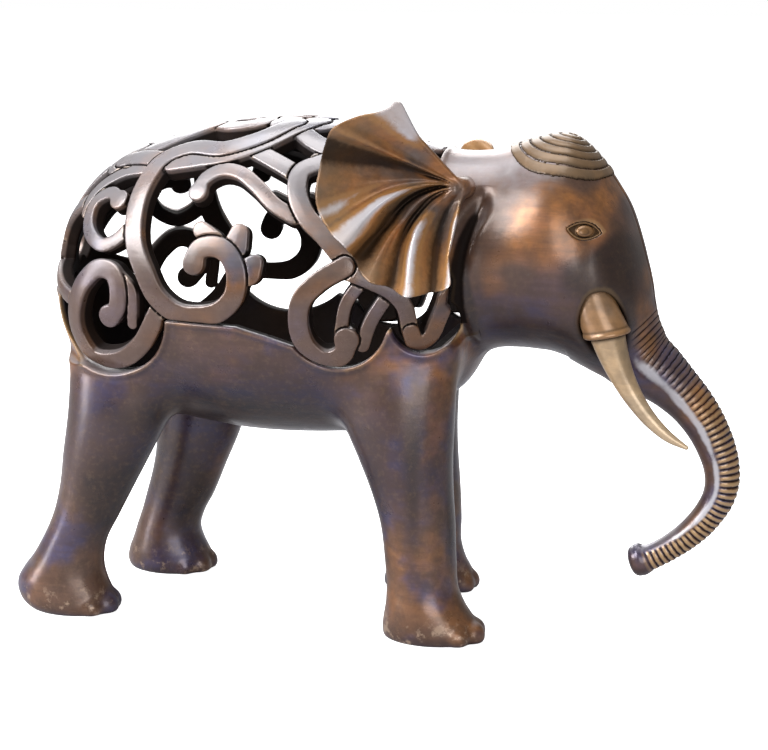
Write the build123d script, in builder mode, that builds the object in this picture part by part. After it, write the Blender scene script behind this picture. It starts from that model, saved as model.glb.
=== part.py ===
from build123d import *
from math import cos, radians, sin
import os

os.makedirs("parts", exist_ok=True)

# Carved elephant figurine, standing, trunk curling down and back.
# Millimetres. +X towards the trunk, +Z up, soles on Z = 0, middle of the box on X = Y = 0.

# --- driving dimensions -------------------------------------------------------------
SHELL = 7.0             # thickness of the hollowed torso
NECK_X = 50.0           # flat glue joint between torso and head
COLLAR_X = 29.0         # front end of the hollow; solid neck from here to NECK_X
CLEARANCE = 0.05        # radial gap of every tenon in its hole
END_GAP = 0.5           # air at the blind end of a tenon's hole
BEYOND = 400.0          # a length that reaches past the whole figurine

# Torso sections: x, top z, bottom z, half width
TORSO = (
    (-154.0, 176.0, 142.0, 22.0),
    (-148.0, 190.0, 118.0, 38.0),
    (-138.0, 203.0, 100.0, 48.0),
    (-115.0, 216.0, 90.0, 56.0),
    (-80.0, 226.0, 86.0, 60.0),
    (-40.0, 229.0, 84.5, 61.0),
    (0.0, 226.0, 88.0, 58.0),
    (30.0, 217.0, 106.0, 48.0),
    (NECK_X, 214.0, 129.0, 38.0),
)
TORSO_LENGTH = TORSO[-1][0] - TORSO[0][0]
TORSO_MIDDLE = (TORSO[-1][0] + TORSO[0][0]) / 2

# Leg sections: z, middle x, half length, half width. The sole is the first one.
HIND_RIGHT = (
    (0.0, -142.5, 21.0, 16.0),
    (10.0, -143.5, 21.5, 17.0),
    (24.0, -140.5, 16.0, 15.5),
    (46.0, -132.0, 14.5, 14.5),
    (66.0, -125.5, 18.0, 16.5),
    (90.0, -119.0, 22.5, 18.5),
    (125.0, -112.0, 26.0, 15.0),
)
HIND_LEFT = (
    (0.0, -118.5, 21.0, 16.0),
    (10.0, -119.5, 21.0, 17.0),
    (24.0, -118.5, 16.5, 15.5),
    (46.0, -110.5, 17.0, 15.0),
    (66.0, -104.0, 19.0, 16.5),
    (90.0, -100.0, 22.5, 18.5),
    (125.0, -96.0, 25.0, 15.0),
)
FORE_RIGHT = (
    (0.0, 32.0, 21.5, 16.0),
    (10.0, 30.0, 20.5, 17.0),
    (24.0, 26.5, 16.5, 15.5),
    (54.0, 24.0, 17.0, 16.0),
    (80.0, 19.0, 20.5, 18.5),
    (105.0, 14.0, 26.0, 18.0),
    (140.0, 12.0, 26.0, 12.0),
)
FORE_LEFT_STEP = -15.0  # the left foreleg stands this much behind the right one
FORE_LEFT = tuple((z, x + FORE_LEFT_STEP, length, width) for z, x, length, width in FORE_RIGHT)
FOOT_Y = 37.0           # sole centres, either side
HIP_Y = 33.0            # leg tops, either side

# Head sections: x, top z, bottom z, half width
HEAD = (
    (NECK_X, 214.0, 130.0, 34.0),
    (62.0, 220.5, 128.0, 38.0),
    (80.0, 226.0, 124.0, 41.0),
    (92.0, 221.0, 121.0, 40.0),
    (103.0, 207.0, 121.0, 35.0),
    (112.0, 192.0, 124.0, 29.0),
    (119.0, 174.0, 131.0, 22.0),
)
# Trunk: x, z, radius along its middle line
TRUNK = (
    (100.0, 152.0, 24.0),
    (110.0, 141.0, 20.0),
    (124.0, 126.0, 14.5),
    (138.0, 109.0, 11.0),
    (149.0, 93.0, 9.6),
    (155.5, 77.0, 8.9),
    (153.5, 61.0, 8.2),
    (145.0, 48.5, 7.3),
    (132.0, 39.5, 6.3),
    (119.5, 33.0, 5.8),
)
TRUNK_GROOVES = 22      # turned grooves on the free part of the trunk
GROOVE = 0.6            # radius of one groove
GROOVES_FROM = 0.36     # share of the trunk's length where they start
GROOVES_TO = 0.97

NECK_TENON = (16.0, 14.0)       # radius and length of the spigot behind the head
NECK_CENTRE_Z = 172.0

EAR_ROOT = (43.0, 42.0, 204.0)
EAR_BOSS = 8.0          # radius of the ear's root
EAR_BOSS_TO = 45.0      # half width to which the root stands out
EAR_TENON = (4.0, 18.0)         # radius and length of the round tenon of an ear
EAR_TENON_FROM = 30.0   # half width at which the tenon starts, inside the boss
EAR_THICKNESS = 4.2
EAR_RISE = 0.66         # outward lean of the fan for each millimetre of radius
EAR_REACH = 65.0
EAR_BOX_Y = 120.0
EAR_PLEATS = 12         # grooves, on the inner and the outer face by turns
EAR_PLEAT_DEPTH = 1.7
EAR_PLEAT_FROM = 126.0  # angles of the first and the last groove
EAR_PLEAT_TO = 262.0
EAR_FRONT = (49.0, 203.0)       # front corner of the outline, on the root
# Rim of the fan from its upper tip to its lower front end: x, z
RIGHT_EAR_RIM = (
    (26.0, 243.0), (2.0, 231.0), (-8.0, 208.0), (-1.0, 186.0), (13.0, 169.0), (30.0, 161.0),
    (46.0, 169.0),
)
LEFT_EAR_RIM = (
    (5.0, 216.0), (-5.0, 206.0), (-7.0, 190.0), (1.0, 174.0), (15.0, 162.0), (31.0, 156.0),
    (47.0, 166.0),
)

EYE_AT = (93.5, 35.2, 187.0)
EYE_SIZE = (6.2, 3.4)   # half length and radius

HEAD_MIDDLE = (82.0, 0.0, 174.0)
CAP_X = 80.0            # middle of the ridged cap on the crown
CAP_SIZE = (22.0, 27.0)         # half length and half width of the cap
CAP_STEPS = 6
CAP_GROWTH = 0.011      # each step lies this much further out than the head
CAP_CUT_Z = 190.0
CAP_TALL = 50.0
CAP_SPIGOT = (4.0, 9.0)         # radius and length of the spigot under the cap
CAP_SPIGOT_Z = 217.5    # lower end of the spigot

COLLAR_TOP = (100.0, 26.0, 168.0)
COLLAR_END = (109.0, 29.5, 142.0)
COLLAR_RADII = (8.0, 10.0)
# Tusk: x, y, z, radius
TUSK = (
    (109.0, 29.5, 142.0, 7.0),
    (113.5, 30.5, 128.5, 6.6),
    (118.0, 31.0, 118.0, 5.8),
    (125.5, 32.0, 108.0, 4.5),
    (135.0, 33.0, 99.5, 2.8),
    (142.0, 34.0, 95.5, 0.9),
)
TUSK_TENON = (5.0, 12.0)        # radius and length

# Tail, swung a little to the left, hanging between the thighs: x, y, z, radius
TAIL = (
    (-154.0, 4.0, 149.0, 4.0),
    (-154.5, 9.0, 136.0, 3.8),
    (-151.5, 14.0, 120.0, 3.4),
    (-146.5, 17.0, 104.0, 3.2),
    (-143.0, 18.0, 90.0, 3.3),
    (-141.0, 18.0, 78.0, 4.4),
    (-141.0, 18.0, 66.0, 1.5),
)
TAIL_TENON = (2.4, 8.0)         # radius and length
TAIL_TENON_AT = (-155.0, 11.0, 130.0)

PEG = (1.8, 5.0)        # radius and height of the pegs that locate the pierced back
PEG_SPOTS = ((-70.0, 55.8, 141.7), (-14.0, 50.0, 126.5))  # x, half width, z of the seam
STANDING = (Align.CENTER, Align.CENTER, Align.MIN)

# Scalloped seam between the lower torso and the pierced back: x, z from the rump forward,
# and the round scallops below it as x, z, radius
SEAM = (
    (-175.0, 154.0), (-146.0, 152.0), (-130.0, 141.0), (-52.0, 142.5), (-26.0, 134.0),
    (6.0, 134.0), (16.0, 146.0), (38.0, 150.0), (40.0, 164.0), (COLLAR_X, 192.0),
    (COLLAR_X, 240.0), (-175.0, 240.0),
)
SCALLOPS = ((-112.0, 146.0, 29.5), (-8.0, 148.0, 22.0), (29.0, 146.0, 13.0))

# Strands of the pierced back. Each point is x and the angle round the torso's girth,
# 0 at the widest part of the flank and 90 at the spine.
STRANDS = (
    # the main sweep, over the back, down the rump and into the middle volute
    (9.0, ((-37, 78), (-49, 64), (-64, 58), (-82, 62), (-94, 57), (-101, 38), (-100, 20),
           (-91, 3), (-76, -8), (-60, -6), (-49, 8), (-56, 19), (-67, 20), (-71, 12))),
    (8.0, ((-88, 55), (-70, 54), (-54, 58), (-40, 69), (-28, 84))),
    (6.7, ((-50, 57), (-30, 47))),
    (8.7, ((-18, 53), (-28, 45), (-25, 34), (-13, 23), (-2, 13))),
    (6.5, ((-72, 39), (-66, 46), (-53, 45), (-38, 34), (-25, 28))),
    # shoulder volute
    (9.0, ((-2, 13), (-17, 5), (-23, -8), (-14, -22), (-3, -17))),
    # scallops in front of it
    (6.5, ((-5, 11), (10, 6), (20, -2), (24, -18))),
    (6.5, ((24, -18), (30, -27), (36, -19), (39, -10))),
    (5.5, ((5, 7), (-2, -1), (-5, -12))),
    (6.0, ((4, -18), (8, -9), (14, -1))),
    # curls of the rump
    (6.0, ((-99, 30), (-109, 23), (-120, 24), (-127, 38), (-119, 47), (-111, 42))),
    (6.0, ((-130, 44), (-129, 54), (-115, 58), (-98, 55))),
    (8.5, ((-87, -7), (-97, -22), (-112, -31), (-129, -26), (-132, -8), (-121, 11),
           (-108, 5), (-110, -7))),
    (5.0, ((-108, 9), (-101, 2), (-101, -12))),
    # volutes along the spine
    (8.5, ((-94, 57), (-107, 64), (-118, 70))),
    (8.0, ((-112, 66), (-102, 72), (-90, 78), (-78, 86))),
    (8.0, ((-37, 78), (-28, 67), (-14, 60), (4, 63))),
    # runs forward to the solid neck
    (8.0, ((-20, 54), (0, 52), (16, 42), (31, 30))),
    (7.0, ((-3, 15), (12, 17), (31, 12))),
)
# Round ends and petals: x, girth angle, radius
LOBES = (
    (-69, 10, 4.5), (-66, 25, 5.5), (-51, 22, 5.5), (-44, 10, 5.5), (-72, 38, 4.5),
    (-2, -15, 5.5), (-111, 42, 4.5), (-113, -9, 5.0), (39, -12, 3.5), (-17, 53, 5.5),
)
SPINE_RINGS = (
    (-122.0, 14.5), (-93.0, 16.5), (-62.0, 16.5), (-31.0, 16.5), (-1.0, 15.5), (21.0, 9.5),
)                       # x and radius
SPINE_BAND = 7.5
SIDE_FROM_Y = 34.0      # strands are cut sideways outside this half width
TOP_TO_Y = 37.0         # and downwards inside this one
TOP_FROM_Z = 193.0      # and above this height
TOP_GIRTH = 50.0        # strands that end above this girth angle are cut from the top as well
RUMP_X = -129.5         # behind it they are cut lengthways
RUMP_RING = (168.0, 16.0, 9.0)          # middle z, outer and inner radius
# Bands of the rump's right half: width and y, z points
RUMP_BANDS = (
    (7.0, ((-13, 172), (-22, 187), (-34, 196))),
    (7.0, ((-12, 160), (-28, 156), (-50, 148))),
    (7.0, ((-8, 182), (-10, 192), (-14, 203))),
)
RUMP_STEM = (9.0, ((0, 156), (1, 150), (0, 140)))


# --- shared shapes ------------------------------------------------------------------
def section_at(x):
    """Middle height, half height and half width of the torso at x."""
    behind = max((s for s in TORSO if s[0] <= x), default=TORSO[0])
    ahead = min((s for s in TORSO if s[0] > x), default=TORSO[-1])
    share = (x - behind[0]) / (ahead[0] - behind[0]) if ahead is not behind else 0
    top, bottom, half = (b + (a - b) * share for b, a in zip(behind[1:], ahead[1:]))
    return (top + bottom) / 2, (top - bottom) / 2, half


def seen_from_side(x, girth):
    """X and Z of a point given by its girth angle."""
    middle, half_height, _ = section_at(x)
    return x, middle + half_height * sin(radians(girth))


def seen_from_top(x, girth):
    """X and Y of the same point on the right flank."""
    return x, -section_at(x)[2] * cos(radians(girth))


def torso_solid(inset):
    """Torso shrunk evenly towards its middle by the inset."""
    shrink = 1 - inset / (TORSO_LENGTH / 2)
    with BuildPart() as shape:
        for x, top, bottom, half in TORSO:
            with BuildSketch(Plane.YZ.offset(TORSO_MIDDLE + (x - TORSO_MIDDLE) * shrink)):
                with Locations((0, (top + bottom) / 2)):
                    Ellipse(half - inset, (top - bottom) / 2 - inset)
        loft()
    return shape.part


def leg_solid(sections, side):
    """Leg on the given side (-1 right, +1 left), leaning in towards the hip."""
    top_z = sections[-1][0]
    with BuildPart() as shape:
        for z, x, half_length, half_width in sections:
            y = side * (FOOT_Y + (HIP_Y - FOOT_Y) * z / top_z)
            with BuildSketch(Plane.XY.offset(z)):
                with Locations((x, y)):
                    Ellipse(half_length, half_width)
        loft()
    return shape.part


def tapered_tube(stations):
    """Round tapered solid through stations of x, y, z and radius."""
    points = [Vector(*station[:3]) for station in stations]
    with BuildPart() as shape:
        for i, station in enumerate(stations):
            before = points[max(i - 1, 0)]
            after = points[min(i + 1, len(points) - 1)]
            with BuildSketch(Plane(points[i], x_dir=(0, 1, 0), z_dir=after - before)):
                Circle(station[3])
        loft()
    return shape.part


def band(points, width):
    """One strand with round ends, added to the open sketch."""
    with BuildLine() as middle_line:
        Spline(*points)
    trace(middle_line.line, line_width=width)
    with Locations(points[0], points[-1]):
        Circle(width / 2)


def left_ear_rod(radius, length):
    """Rod inwards from the left ear's root: its tenon, or the hole that takes it."""
    with BuildPart() as shape:
        with BuildSketch(Plane.XZ.offset(-EAR_TENON_FROM)):
            with Locations((EAR_ROOT[0], EAR_ROOT[2])):
                Circle(radius)
        extrude(amount=length)
    return shape.part


def trunk_radius(share):
    """Radius of the trunk at a share of its length."""
    steps = [(Vector(*b[:2]) - Vector(*a[:2])).length for a, b in zip(TRUNK, TRUNK[1:])]
    left = share * sum(steps)
    for step, a, b in zip(steps, TRUNK, TRUNK[1:]):
        if left <= step:
            return a[2] + (b[2] - a[2]) * left / step
        left -= step
    return TRUNK[-1][2]


torso_outside = torso_solid(0)
torso_hollow = torso_solid(SHELL)
hind_right = leg_solid(HIND_RIGHT, -1)
hind_left = leg_solid(HIND_LEFT, 1)
fore_right = leg_solid(FORE_RIGHT, -1)
fore_left = leg_solid(FORE_LEFT, 1)
trunk = tapered_tube([(x, 0, z, radius) for x, z, radius in TRUNK])
trunk_line = Spline(*[(x, 0, z) for x, z, _ in TRUNK])
left_ear_hole = left_ear_rod(EAR_TENON[0] + CLEARANCE, EAR_TENON[1] + END_GAP)

with BuildPart() as head_outside:
    for x, top, bottom, half in HEAD:
        with BuildSketch(Plane.YZ.offset(x)):
            with Locations((0, (top + bottom) / 2)):
                Ellipse(half, (top - bottom) / 2)
    loft()

# Everything above the scalloped seam, as a block right across the torso
with BuildPart() as above_seam:
    with BuildSketch(Plane.XZ):
        with BuildLine():
            Polyline(*SEAM, close=True)
        make_face()
        for x, z, radius in SCALLOPS:
            with Locations((x, z)):
                Circle(radius)
    extrude(amount=BEYOND, both=True)

with BuildPart() as hollow:
    add(torso_hollow)
    with BuildSketch(Plane.YZ.offset(COLLAR_X)):
        Rectangle(BEYOND, 2 * BEYOND)
    extrude(amount=BEYOND, mode=Mode.SUBTRACT)


# --- body: lower torso, neck and legs ------------------------------------------------
with BuildPart() as body:
    add(torso_outside)
    for leg in (hind_right, hind_left, fore_right, fore_left):
        add(leg)
    add(hollow.part, mode=Mode.SUBTRACT)
    add(above_seam.part, mode=Mode.SUBTRACT)
    with BuildSketch(Plane.YZ.offset(NECK_X)):
        with Locations((0, NECK_CENTRE_Z)):
            Circle(NECK_TENON[0] + CLEARANCE)
    extrude(amount=-NECK_TENON[1] - END_GAP, mode=Mode.SUBTRACT)
    add(left_ear_hole, mode=Mode.SUBTRACT)
    add(left_ear_hole.mirror(Plane.XZ), mode=Mode.SUBTRACT)
    with BuildSketch(Plane.YZ.offset(TAIL_TENON_AT[0])):
        with Locations(TAIL_TENON_AT[1:]):
            Circle(TAIL_TENON[0] + CLEARANCE)
    extrude(amount=TAIL_TENON[1] + END_GAP, mode=Mode.SUBTRACT)
    for x, y, z in PEG_SPOTS:
        for side in (-1, 1):
            with Locations((x, side * y, z - PEG[1])):
                Cylinder(PEG[0], 2 * PEG[1], align=STANDING)


# --- pierced back: shell above the seam, cut into strands ----------------------------
with BuildPart() as side_cut:
    with BuildSketch(Plane.XZ):
        for width, strand in STRANDS:
            band([seen_from_side(x, girth) for x, girth in strand], width)
        for x, girth, radius in LOBES:
            with Locations(seen_from_side(x, girth)):
                Circle(radius)
    extrude(amount=BEYOND, both=True)
    Box(2 * BEYOND, 2 * SIDE_FROM_Y, 2 * BEYOND, mode=Mode.SUBTRACT)

with BuildPart() as top_cut:
    with BuildSketch(Plane.XY.offset(TOP_FROM_Z)):
        for width, strand in STRANDS:
            if max(strand[0][1], strand[-1][1]) > TOP_GIRTH:
                band([seen_from_top(x, girth) for x, girth in strand], width)
        mirror(about=Plane.XZ)
        for x, radius in SPINE_RINGS:
            with Locations((x, 0)):
                Circle(radius)
                Circle(radius - SPINE_BAND, mode=Mode.SUBTRACT)
        Rectangle(2 * BEYOND, 2 * TOP_TO_Y, mode=Mode.INTERSECT)
    extrude(amount=BEYOND)

with BuildPart() as rump_cut:
    with BuildSketch(Plane.YZ.offset(RUMP_X)):
        ring_z, ring_outside, ring_inside = RUMP_RING
        with Locations((0, ring_z)):
            Circle(ring_outside)
            Circle(ring_inside, mode=Mode.SUBTRACT)
        for width, points in RUMP_BANDS:
            band(points, width)
            band([(-y, z) for y, z in points], width)
        stem_width, stem_points = RUMP_STEM
        band(stem_points, stem_width)
    extrude(amount=-BEYOND)

with BuildPart() as strands:
    add(side_cut.part)
    add(top_cut.part)
    add(rump_cut.part)

with BuildPart() as pierced_back:
    add(torso_outside)
    add(hollow.part, mode=Mode.SUBTRACT)
    add(above_seam.part, mode=Mode.INTERSECT)
    add(strands.part, mode=Mode.INTERSECT)
    for x, y, z in PEG_SPOTS:
        for side in (-1, 1):
            with Locations((x, side * y, z - PEG[1])):
                Cylinder(PEG[0] + CLEARANCE, 2 * PEG[1] + END_GAP, align=STANDING,
                         mode=Mode.SUBTRACT)


# --- blanks that the head and its fittings share --------------------------------------
with BuildPart() as eye_spindle:
    with BuildSketch():
        Ellipse(EYE_SIZE[0], EYE_SIZE[1])
        with Locations((0, -EYE_SIZE[1])):
            Rectangle(2 * EYE_SIZE[0], 2 * EYE_SIZE[1], mode=Mode.SUBTRACT)
    revolve(axis=Axis.X)
left_eye_blank = Pos(*EYE_AT) * eye_spindle.part
right_eye_blank = left_eye_blank.mirror(Plane.XZ)

with BuildPart() as left_collar_blank:
    add(tapered_tube([(*COLLAR_TOP, COLLAR_RADII[0]), (*COLLAR_END, COLLAR_RADII[1])]))
    with Locations(COLLAR_TOP):
        Sphere(COLLAR_RADII[0])

collar_axis = Vector(*COLLAR_TOP) - Vector(*COLLAR_END)
tusk_socket_plane = Plane(COLLAR_END, x_dir=(0, 1, 0), z_dir=collar_axis)
tusk_blank = tapered_tube(TUSK)

with BuildPart() as head_blank:
    add(head_outside.part)
    add(trunk)


def terrace(step):
    """One raised step of the crown cap, parallel to the head under it."""
    share = 1 - step / CAP_STEPS
    with BuildPart() as shape:
        add(head_outside.part)
        scale(by=1 + CAP_GROWTH * (step + 2), about=HEAD_MIDDLE)
        with BuildSketch(Plane.XY.offset(CAP_CUT_Z)):
            with Locations((CAP_X, 0)):
                Ellipse(CAP_SIZE[0] * share, CAP_SIZE[1] * share)
        extrude(amount=CAP_TALL, mode=Mode.INTERSECT)
    return shape.part


# --- head with trunk -------------------------------------------------------------------
with BuildPart() as head:
    add(head_blank.part)
    for blank in (left_collar_blank.part, tusk_blank):
        add(blank, mode=Mode.SUBTRACT)
        add(blank.mirror(Plane.XZ), mode=Mode.SUBTRACT)
    for blank in (left_eye_blank, right_eye_blank):
        add(blank, mode=Mode.SUBTRACT)
    with BuildSketch(Plane.YZ.offset(NECK_X)):
        with Locations((0, NECK_CENTRE_Z)):
            Circle(NECK_TENON[0])
    extrude(amount=-NECK_TENON[1])
    with Locations((CAP_X, 0, CAP_SPIGOT_Z - END_GAP)):
        Cylinder(CAP_SPIGOT[0] + CLEARANCE, BEYOND, align=STANDING, mode=Mode.SUBTRACT)
    for i in range(TRUNK_GROOVES):
        share = GROOVES_FROM + (GROOVES_TO - GROOVES_FROM) * i / (TRUNK_GROOVES - 1)
        with Locations(Plane(trunk_line @ share, z_dir=trunk_line % share)):
            Torus(trunk_radius(share), GROOVE, mode=Mode.SUBTRACT)


# --- eyes ------------------------------------------------------------------------------
with BuildPart() as left_eye:
    add(left_eye_blank)

with BuildPart() as right_eye:
    add(right_eye_blank)


# --- ridged cap on the crown -------------------------------------------------------------
with BuildPart() as crown_cap:
    for step in range(CAP_STEPS):
        add(terrace(step))
    add(head_blank.part, mode=Mode.SUBTRACT)
    with Locations((CAP_X, 0, CAP_SPIGOT_Z)):
        Cylinder(CAP_SPIGOT[0], CAP_SPIGOT[1], align=STANDING)


# --- tusk collars and tusks --------------------------------------------------------------
with BuildPart() as left_tusk_collar:
    add(left_collar_blank.part)
    with BuildSketch(tusk_socket_plane):
        Circle(TUSK_TENON[0] + CLEARANCE)
    extrude(amount=TUSK_TENON[1] + END_GAP, mode=Mode.SUBTRACT)

with BuildPart() as left_tusk:
    add(tusk_blank)
    add(left_collar_blank.part, mode=Mode.SUBTRACT)
    with BuildSketch(tusk_socket_plane):
        Circle(TUSK_TENON[0])
    extrude(amount=TUSK_TENON[1])

with BuildPart() as right_tusk_collar:
    add(left_tusk_collar.part.mirror(Plane.XZ))

with BuildPart() as right_tusk:
    add(left_tusk.part.mirror(Plane.XZ))


# --- ears --------------------------------------------------------------------------------
def left_hand_ear(rim_points):
    """Fan cut from a cone that opens outwards, pleated, on a round root with its tenon."""
    with BuildPart() as shape:
        with BuildSketch(Plane(EAR_ROOT, x_dir=(1, 0, 0), z_dir=(0, 0, 1))):
            with BuildLine():
                Polyline((0, -EAR_THICKNESS / 2),
                         (EAR_REACH, EAR_RISE * EAR_REACH - EAR_THICKNESS / 2),
                         (EAR_REACH, EAR_RISE * EAR_REACH + EAR_THICKNESS / 2),
                         (0, EAR_THICKNESS / 2), close=True)
            make_face()
        revolve(axis=Axis(EAR_ROOT, (0, 1, 0)))
        with BuildSketch(Plane.XZ):
            with BuildLine():
                Spline(*rim_points)
                Polyline(rim_points[-1], EAR_FRONT, rim_points[0])
            make_face()
        extrude(amount=-EAR_BOX_Y, mode=Mode.INTERSECT)
        for i in range(EAR_PLEATS):
            turn = radians(EAR_PLEAT_FROM + (EAR_PLEAT_TO - EAR_PLEAT_FROM) * i / (EAR_PLEATS - 1))
            outwards = Vector(cos(turn), EAR_RISE, sin(turn))
            face = EAR_THICKNESS / 2 if i % 2 else -EAR_THICKNESS / 2
            with Locations(Plane(Vector(*EAR_ROOT) + Vector(0, face, 0), z_dir=outwards)):
                Cylinder(EAR_PLEAT_DEPTH, 2 * EAR_REACH, align=STANDING, mode=Mode.SUBTRACT)
        with BuildSketch(Plane.XZ.offset(-EAR_BOSS_TO)):
            with Locations((EAR_ROOT[0], EAR_ROOT[2])):
                Circle(EAR_BOSS)
        extrude(amount=EAR_BOSS_TO)
        add(torso_outside, mode=Mode.SUBTRACT)
        add(head_outside.part, mode=Mode.SUBTRACT)
        add(left_ear_rod(*EAR_TENON))
    return shape.part


with BuildPart() as right_ear:
    add(left_hand_ear(RIGHT_EAR_RIM).mirror(Plane.XZ))

with BuildPart() as left_ear:
    add(left_hand_ear(LEFT_EAR_RIM))


# --- tail --------------------------------------------------------------------------------
with BuildPart() as tail:
    add(tapered_tube(TAIL))
    with Locations(TAIL[0][:3]):
        Sphere(TAIL[0][3])
    add(torso_outside, mode=Mode.SUBTRACT)
    with BuildSketch(Plane.YZ.offset(TAIL_TENON_AT[0])):
        with Locations(TAIL_TENON_AT[1:]):
            Circle(TAIL_TENON[0])
    extrude(amount=TAIL_TENON[1])


# --- one STEP file for each piece ----------------------------------------------------------
body.part.label = "body"
pierced_back.part.label = "pierced_back"
head.part.label = "head"
left_eye.part.label = "left_eye"
right_eye.part.label = "right_eye"
crown_cap.part.label = "crown_cap"
left_tusk_collar.part.label = "left_tusk_collar"
left_tusk.part.label = "left_tusk"
right_tusk_collar.part.label = "right_tusk_collar"
right_tusk.part.label = "right_tusk"
right_ear.part.label = "right_ear"
left_ear.part.label = "left_ear"
tail.part.label = "tail"

for piece in (body, pierced_back, head, left_eye, right_eye, crown_cap, left_tusk_collar,
              left_tusk, right_tusk_collar, right_tusk, right_ear, left_ear, tail):
    export_step(piece.part, f"parts/{piece.part.label}.step")
    print(piece.part.label, [round(solid.volume) for solid in piece.part.solids()])
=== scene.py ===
import math
from types import SimpleNamespace

import bpy
import numpy as np
import openvdb
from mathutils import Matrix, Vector


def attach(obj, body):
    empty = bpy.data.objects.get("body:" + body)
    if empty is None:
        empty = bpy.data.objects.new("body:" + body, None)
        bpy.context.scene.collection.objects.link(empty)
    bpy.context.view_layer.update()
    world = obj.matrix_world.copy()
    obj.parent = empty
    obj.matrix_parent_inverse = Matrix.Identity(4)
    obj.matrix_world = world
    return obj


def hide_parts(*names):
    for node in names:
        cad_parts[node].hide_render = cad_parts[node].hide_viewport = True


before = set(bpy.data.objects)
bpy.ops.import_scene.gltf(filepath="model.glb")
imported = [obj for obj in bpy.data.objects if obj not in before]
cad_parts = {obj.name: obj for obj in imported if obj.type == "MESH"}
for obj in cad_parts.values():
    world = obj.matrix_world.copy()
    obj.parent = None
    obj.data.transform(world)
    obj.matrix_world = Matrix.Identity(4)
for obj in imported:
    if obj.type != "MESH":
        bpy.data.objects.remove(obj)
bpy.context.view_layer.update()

# All shapes are worked out in millimetres as distance fields (negative inside) and
# turned into meshes in metres. +X towards the trunk, +Y to the left, soles on z = 0.
# A side is -1 for the right and 1 for the left.
MM = 0.001
DRAFT = 1.0      # coarser voxels while trying things
FAR = 40.0              # fields are cut off at this distance

SHELL = 7.0             # wall of the hollowed torso
NECK_X = 50.0           # flat joint between torso and head
COLLAR_X = 29.0         # front end of the hollow
JOINT_LAP = 0.4         # the two meshes overlap, so no hairline shows
JOINT_AIR = 0.05        # between an ear or the tail and the block it sits on
SEAM_GAP = 0.35         # from the seam's middle to either side of it

# Voxel sizes
BODY_VOXEL, BACK_VOXEL, HEAD_VOXEL, EAR_VOXEL, CAP_VOXEL = 0.75, 0.55, 0.55, 0.5, 0.4
COLLAR_VOXEL, TUSK_VOXEL, EYE_VOXEL, TAIL_VOXEL = 0.42, 0.4, 0.22, 0.45


# --- numbers along a curve ---
def curve_through(knots, values, at):
    """Smooth curve through the values (Hermite, slopes averaged from both sides)."""
    knots = np.asarray(knots, float)
    values = np.asarray(values, float)
    at = np.clip(at, knots[0], knots[-1])
    rise = np.diff(values, axis=0)
    step = np.diff(knots)
    shape = (-1,) + (1,) * (values.ndim - 1)
    slope = rise / step.reshape(shape)
    tangent = np.empty_like(values)
    tangent[0], tangent[-1] = slope[0], slope[-1]
    before, after = step[:-1].reshape(shape), step[1:].reshape(shape)
    tangent[1:-1] = (slope[:-1] * after + slope[1:] * before) / (before + after)
    i = np.clip(np.searchsorted(knots, at, side="right") - 1, 0, len(step) - 1)
    t = ((at - knots[i]) / step[i]).reshape(shape)
    span = step[i].reshape(shape)
    return ((2 * t**3 - 3 * t**2 + 1) * values[i] + (t**3 - 2 * t**2 + t) * span * tangent[i]
            + (3 * t**2 - 2 * t**3) * values[i + 1] + (t**3 - t**2) * span * tangent[i + 1])


def lengths(points):
    """Length along a line of x, y, z points at each of them."""
    chord = np.linalg.norm(np.diff(points[:, :3], axis=0), axis=1)
    return np.concatenate([[0], np.cumsum(chord)])


def path_through(points, spacing):
    """Points resampled evenly along a smooth curve; extra columns ride along."""
    points = np.asarray(points, float)
    knots = lengths(points)
    fine = curve_through(knots, points, np.linspace(0, knots[-1], 40 * len(points)))
    length = lengths(fine)
    count = max(2, int(length[-1] / spacing) + 1)
    at = np.linspace(0, length[-1], count)
    return np.stack([np.interp(at, length, fine[:, k]) for k in range(fine.shape[1])], 1)


# --- distance fields on a box of voxels ---
class Voxels:
    """Box of voxels with evenly spaced axes; x, y and z spread them for a field."""

    def __init__(self, axes, step):
        self.axes, self.step = axes, step
        self.low = np.array([axis[0] for axis in axes], float)
        self.count = [len(axis) for axis in axes]
        self.x = axes[0][:, None, None]
        self.y = axes[1][None, :, None]
        self.z = axes[2][None, None, :]

    def full(self, value=FAR):
        return np.full(self.count, value, np.float32)

    def window(self, low, high):
        """Slices of the voxels between two corners, and those voxels as their own box."""
        cut = []
        for i in range(3):
            first = math.floor((low[i] - self.low[i]) / self.step)
            first = int(np.clip(first, 0, self.count[i] - 1))
            last = math.ceil((high[i] - self.low[i]) / self.step) + 1
            cut.append(slice(first, int(np.clip(last, first + 1, self.count[i]))))
        return tuple(cut), Voxels([axis[part] for axis, part in zip(self.axes, cut)], self.step)

    def sample(self, field, points):
        """Field values at points, interpolated."""
        place = (points - self.low) / self.step
        place = np.clip(place, 0, np.array(self.count) - 1.001)
        i = place.astype(np.int32)
        f = (place - i).astype(np.float32)
        total = 0
        for a, b, c in np.ndindex(2, 2, 2):
            weight = (abs(1 - a - f[:, 0]) * abs(1 - b - f[:, 1]) * abs(1 - c - f[:, 2]))
            total = total + weight * field[i[:, 0] + a, i[:, 1] + b, i[:, 2] + c]
        return total


def voxel_box(low, high, step):
    """Voxels between two corners."""
    step = step * DRAFT
    axes = []
    for start, end in zip(low, high):
        count = int(math.ceil((end - start) / step)) + 1
        axes.append(np.float32(start + step * np.arange(count)))
    return Voxels(axes, step)


def blend_min(a, b, k):
    """Union of two fields with a fillet of about k."""
    h = np.clip(0.5 + 0.5 * (b - a) / k, 0, 1)
    return b + (a - b) * h - k * h * (1 - h)


def blend_max(a, b, k):
    """Overlap of two fields with a rounded edge of about k."""
    return -blend_min(-a, -b, k)


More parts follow.
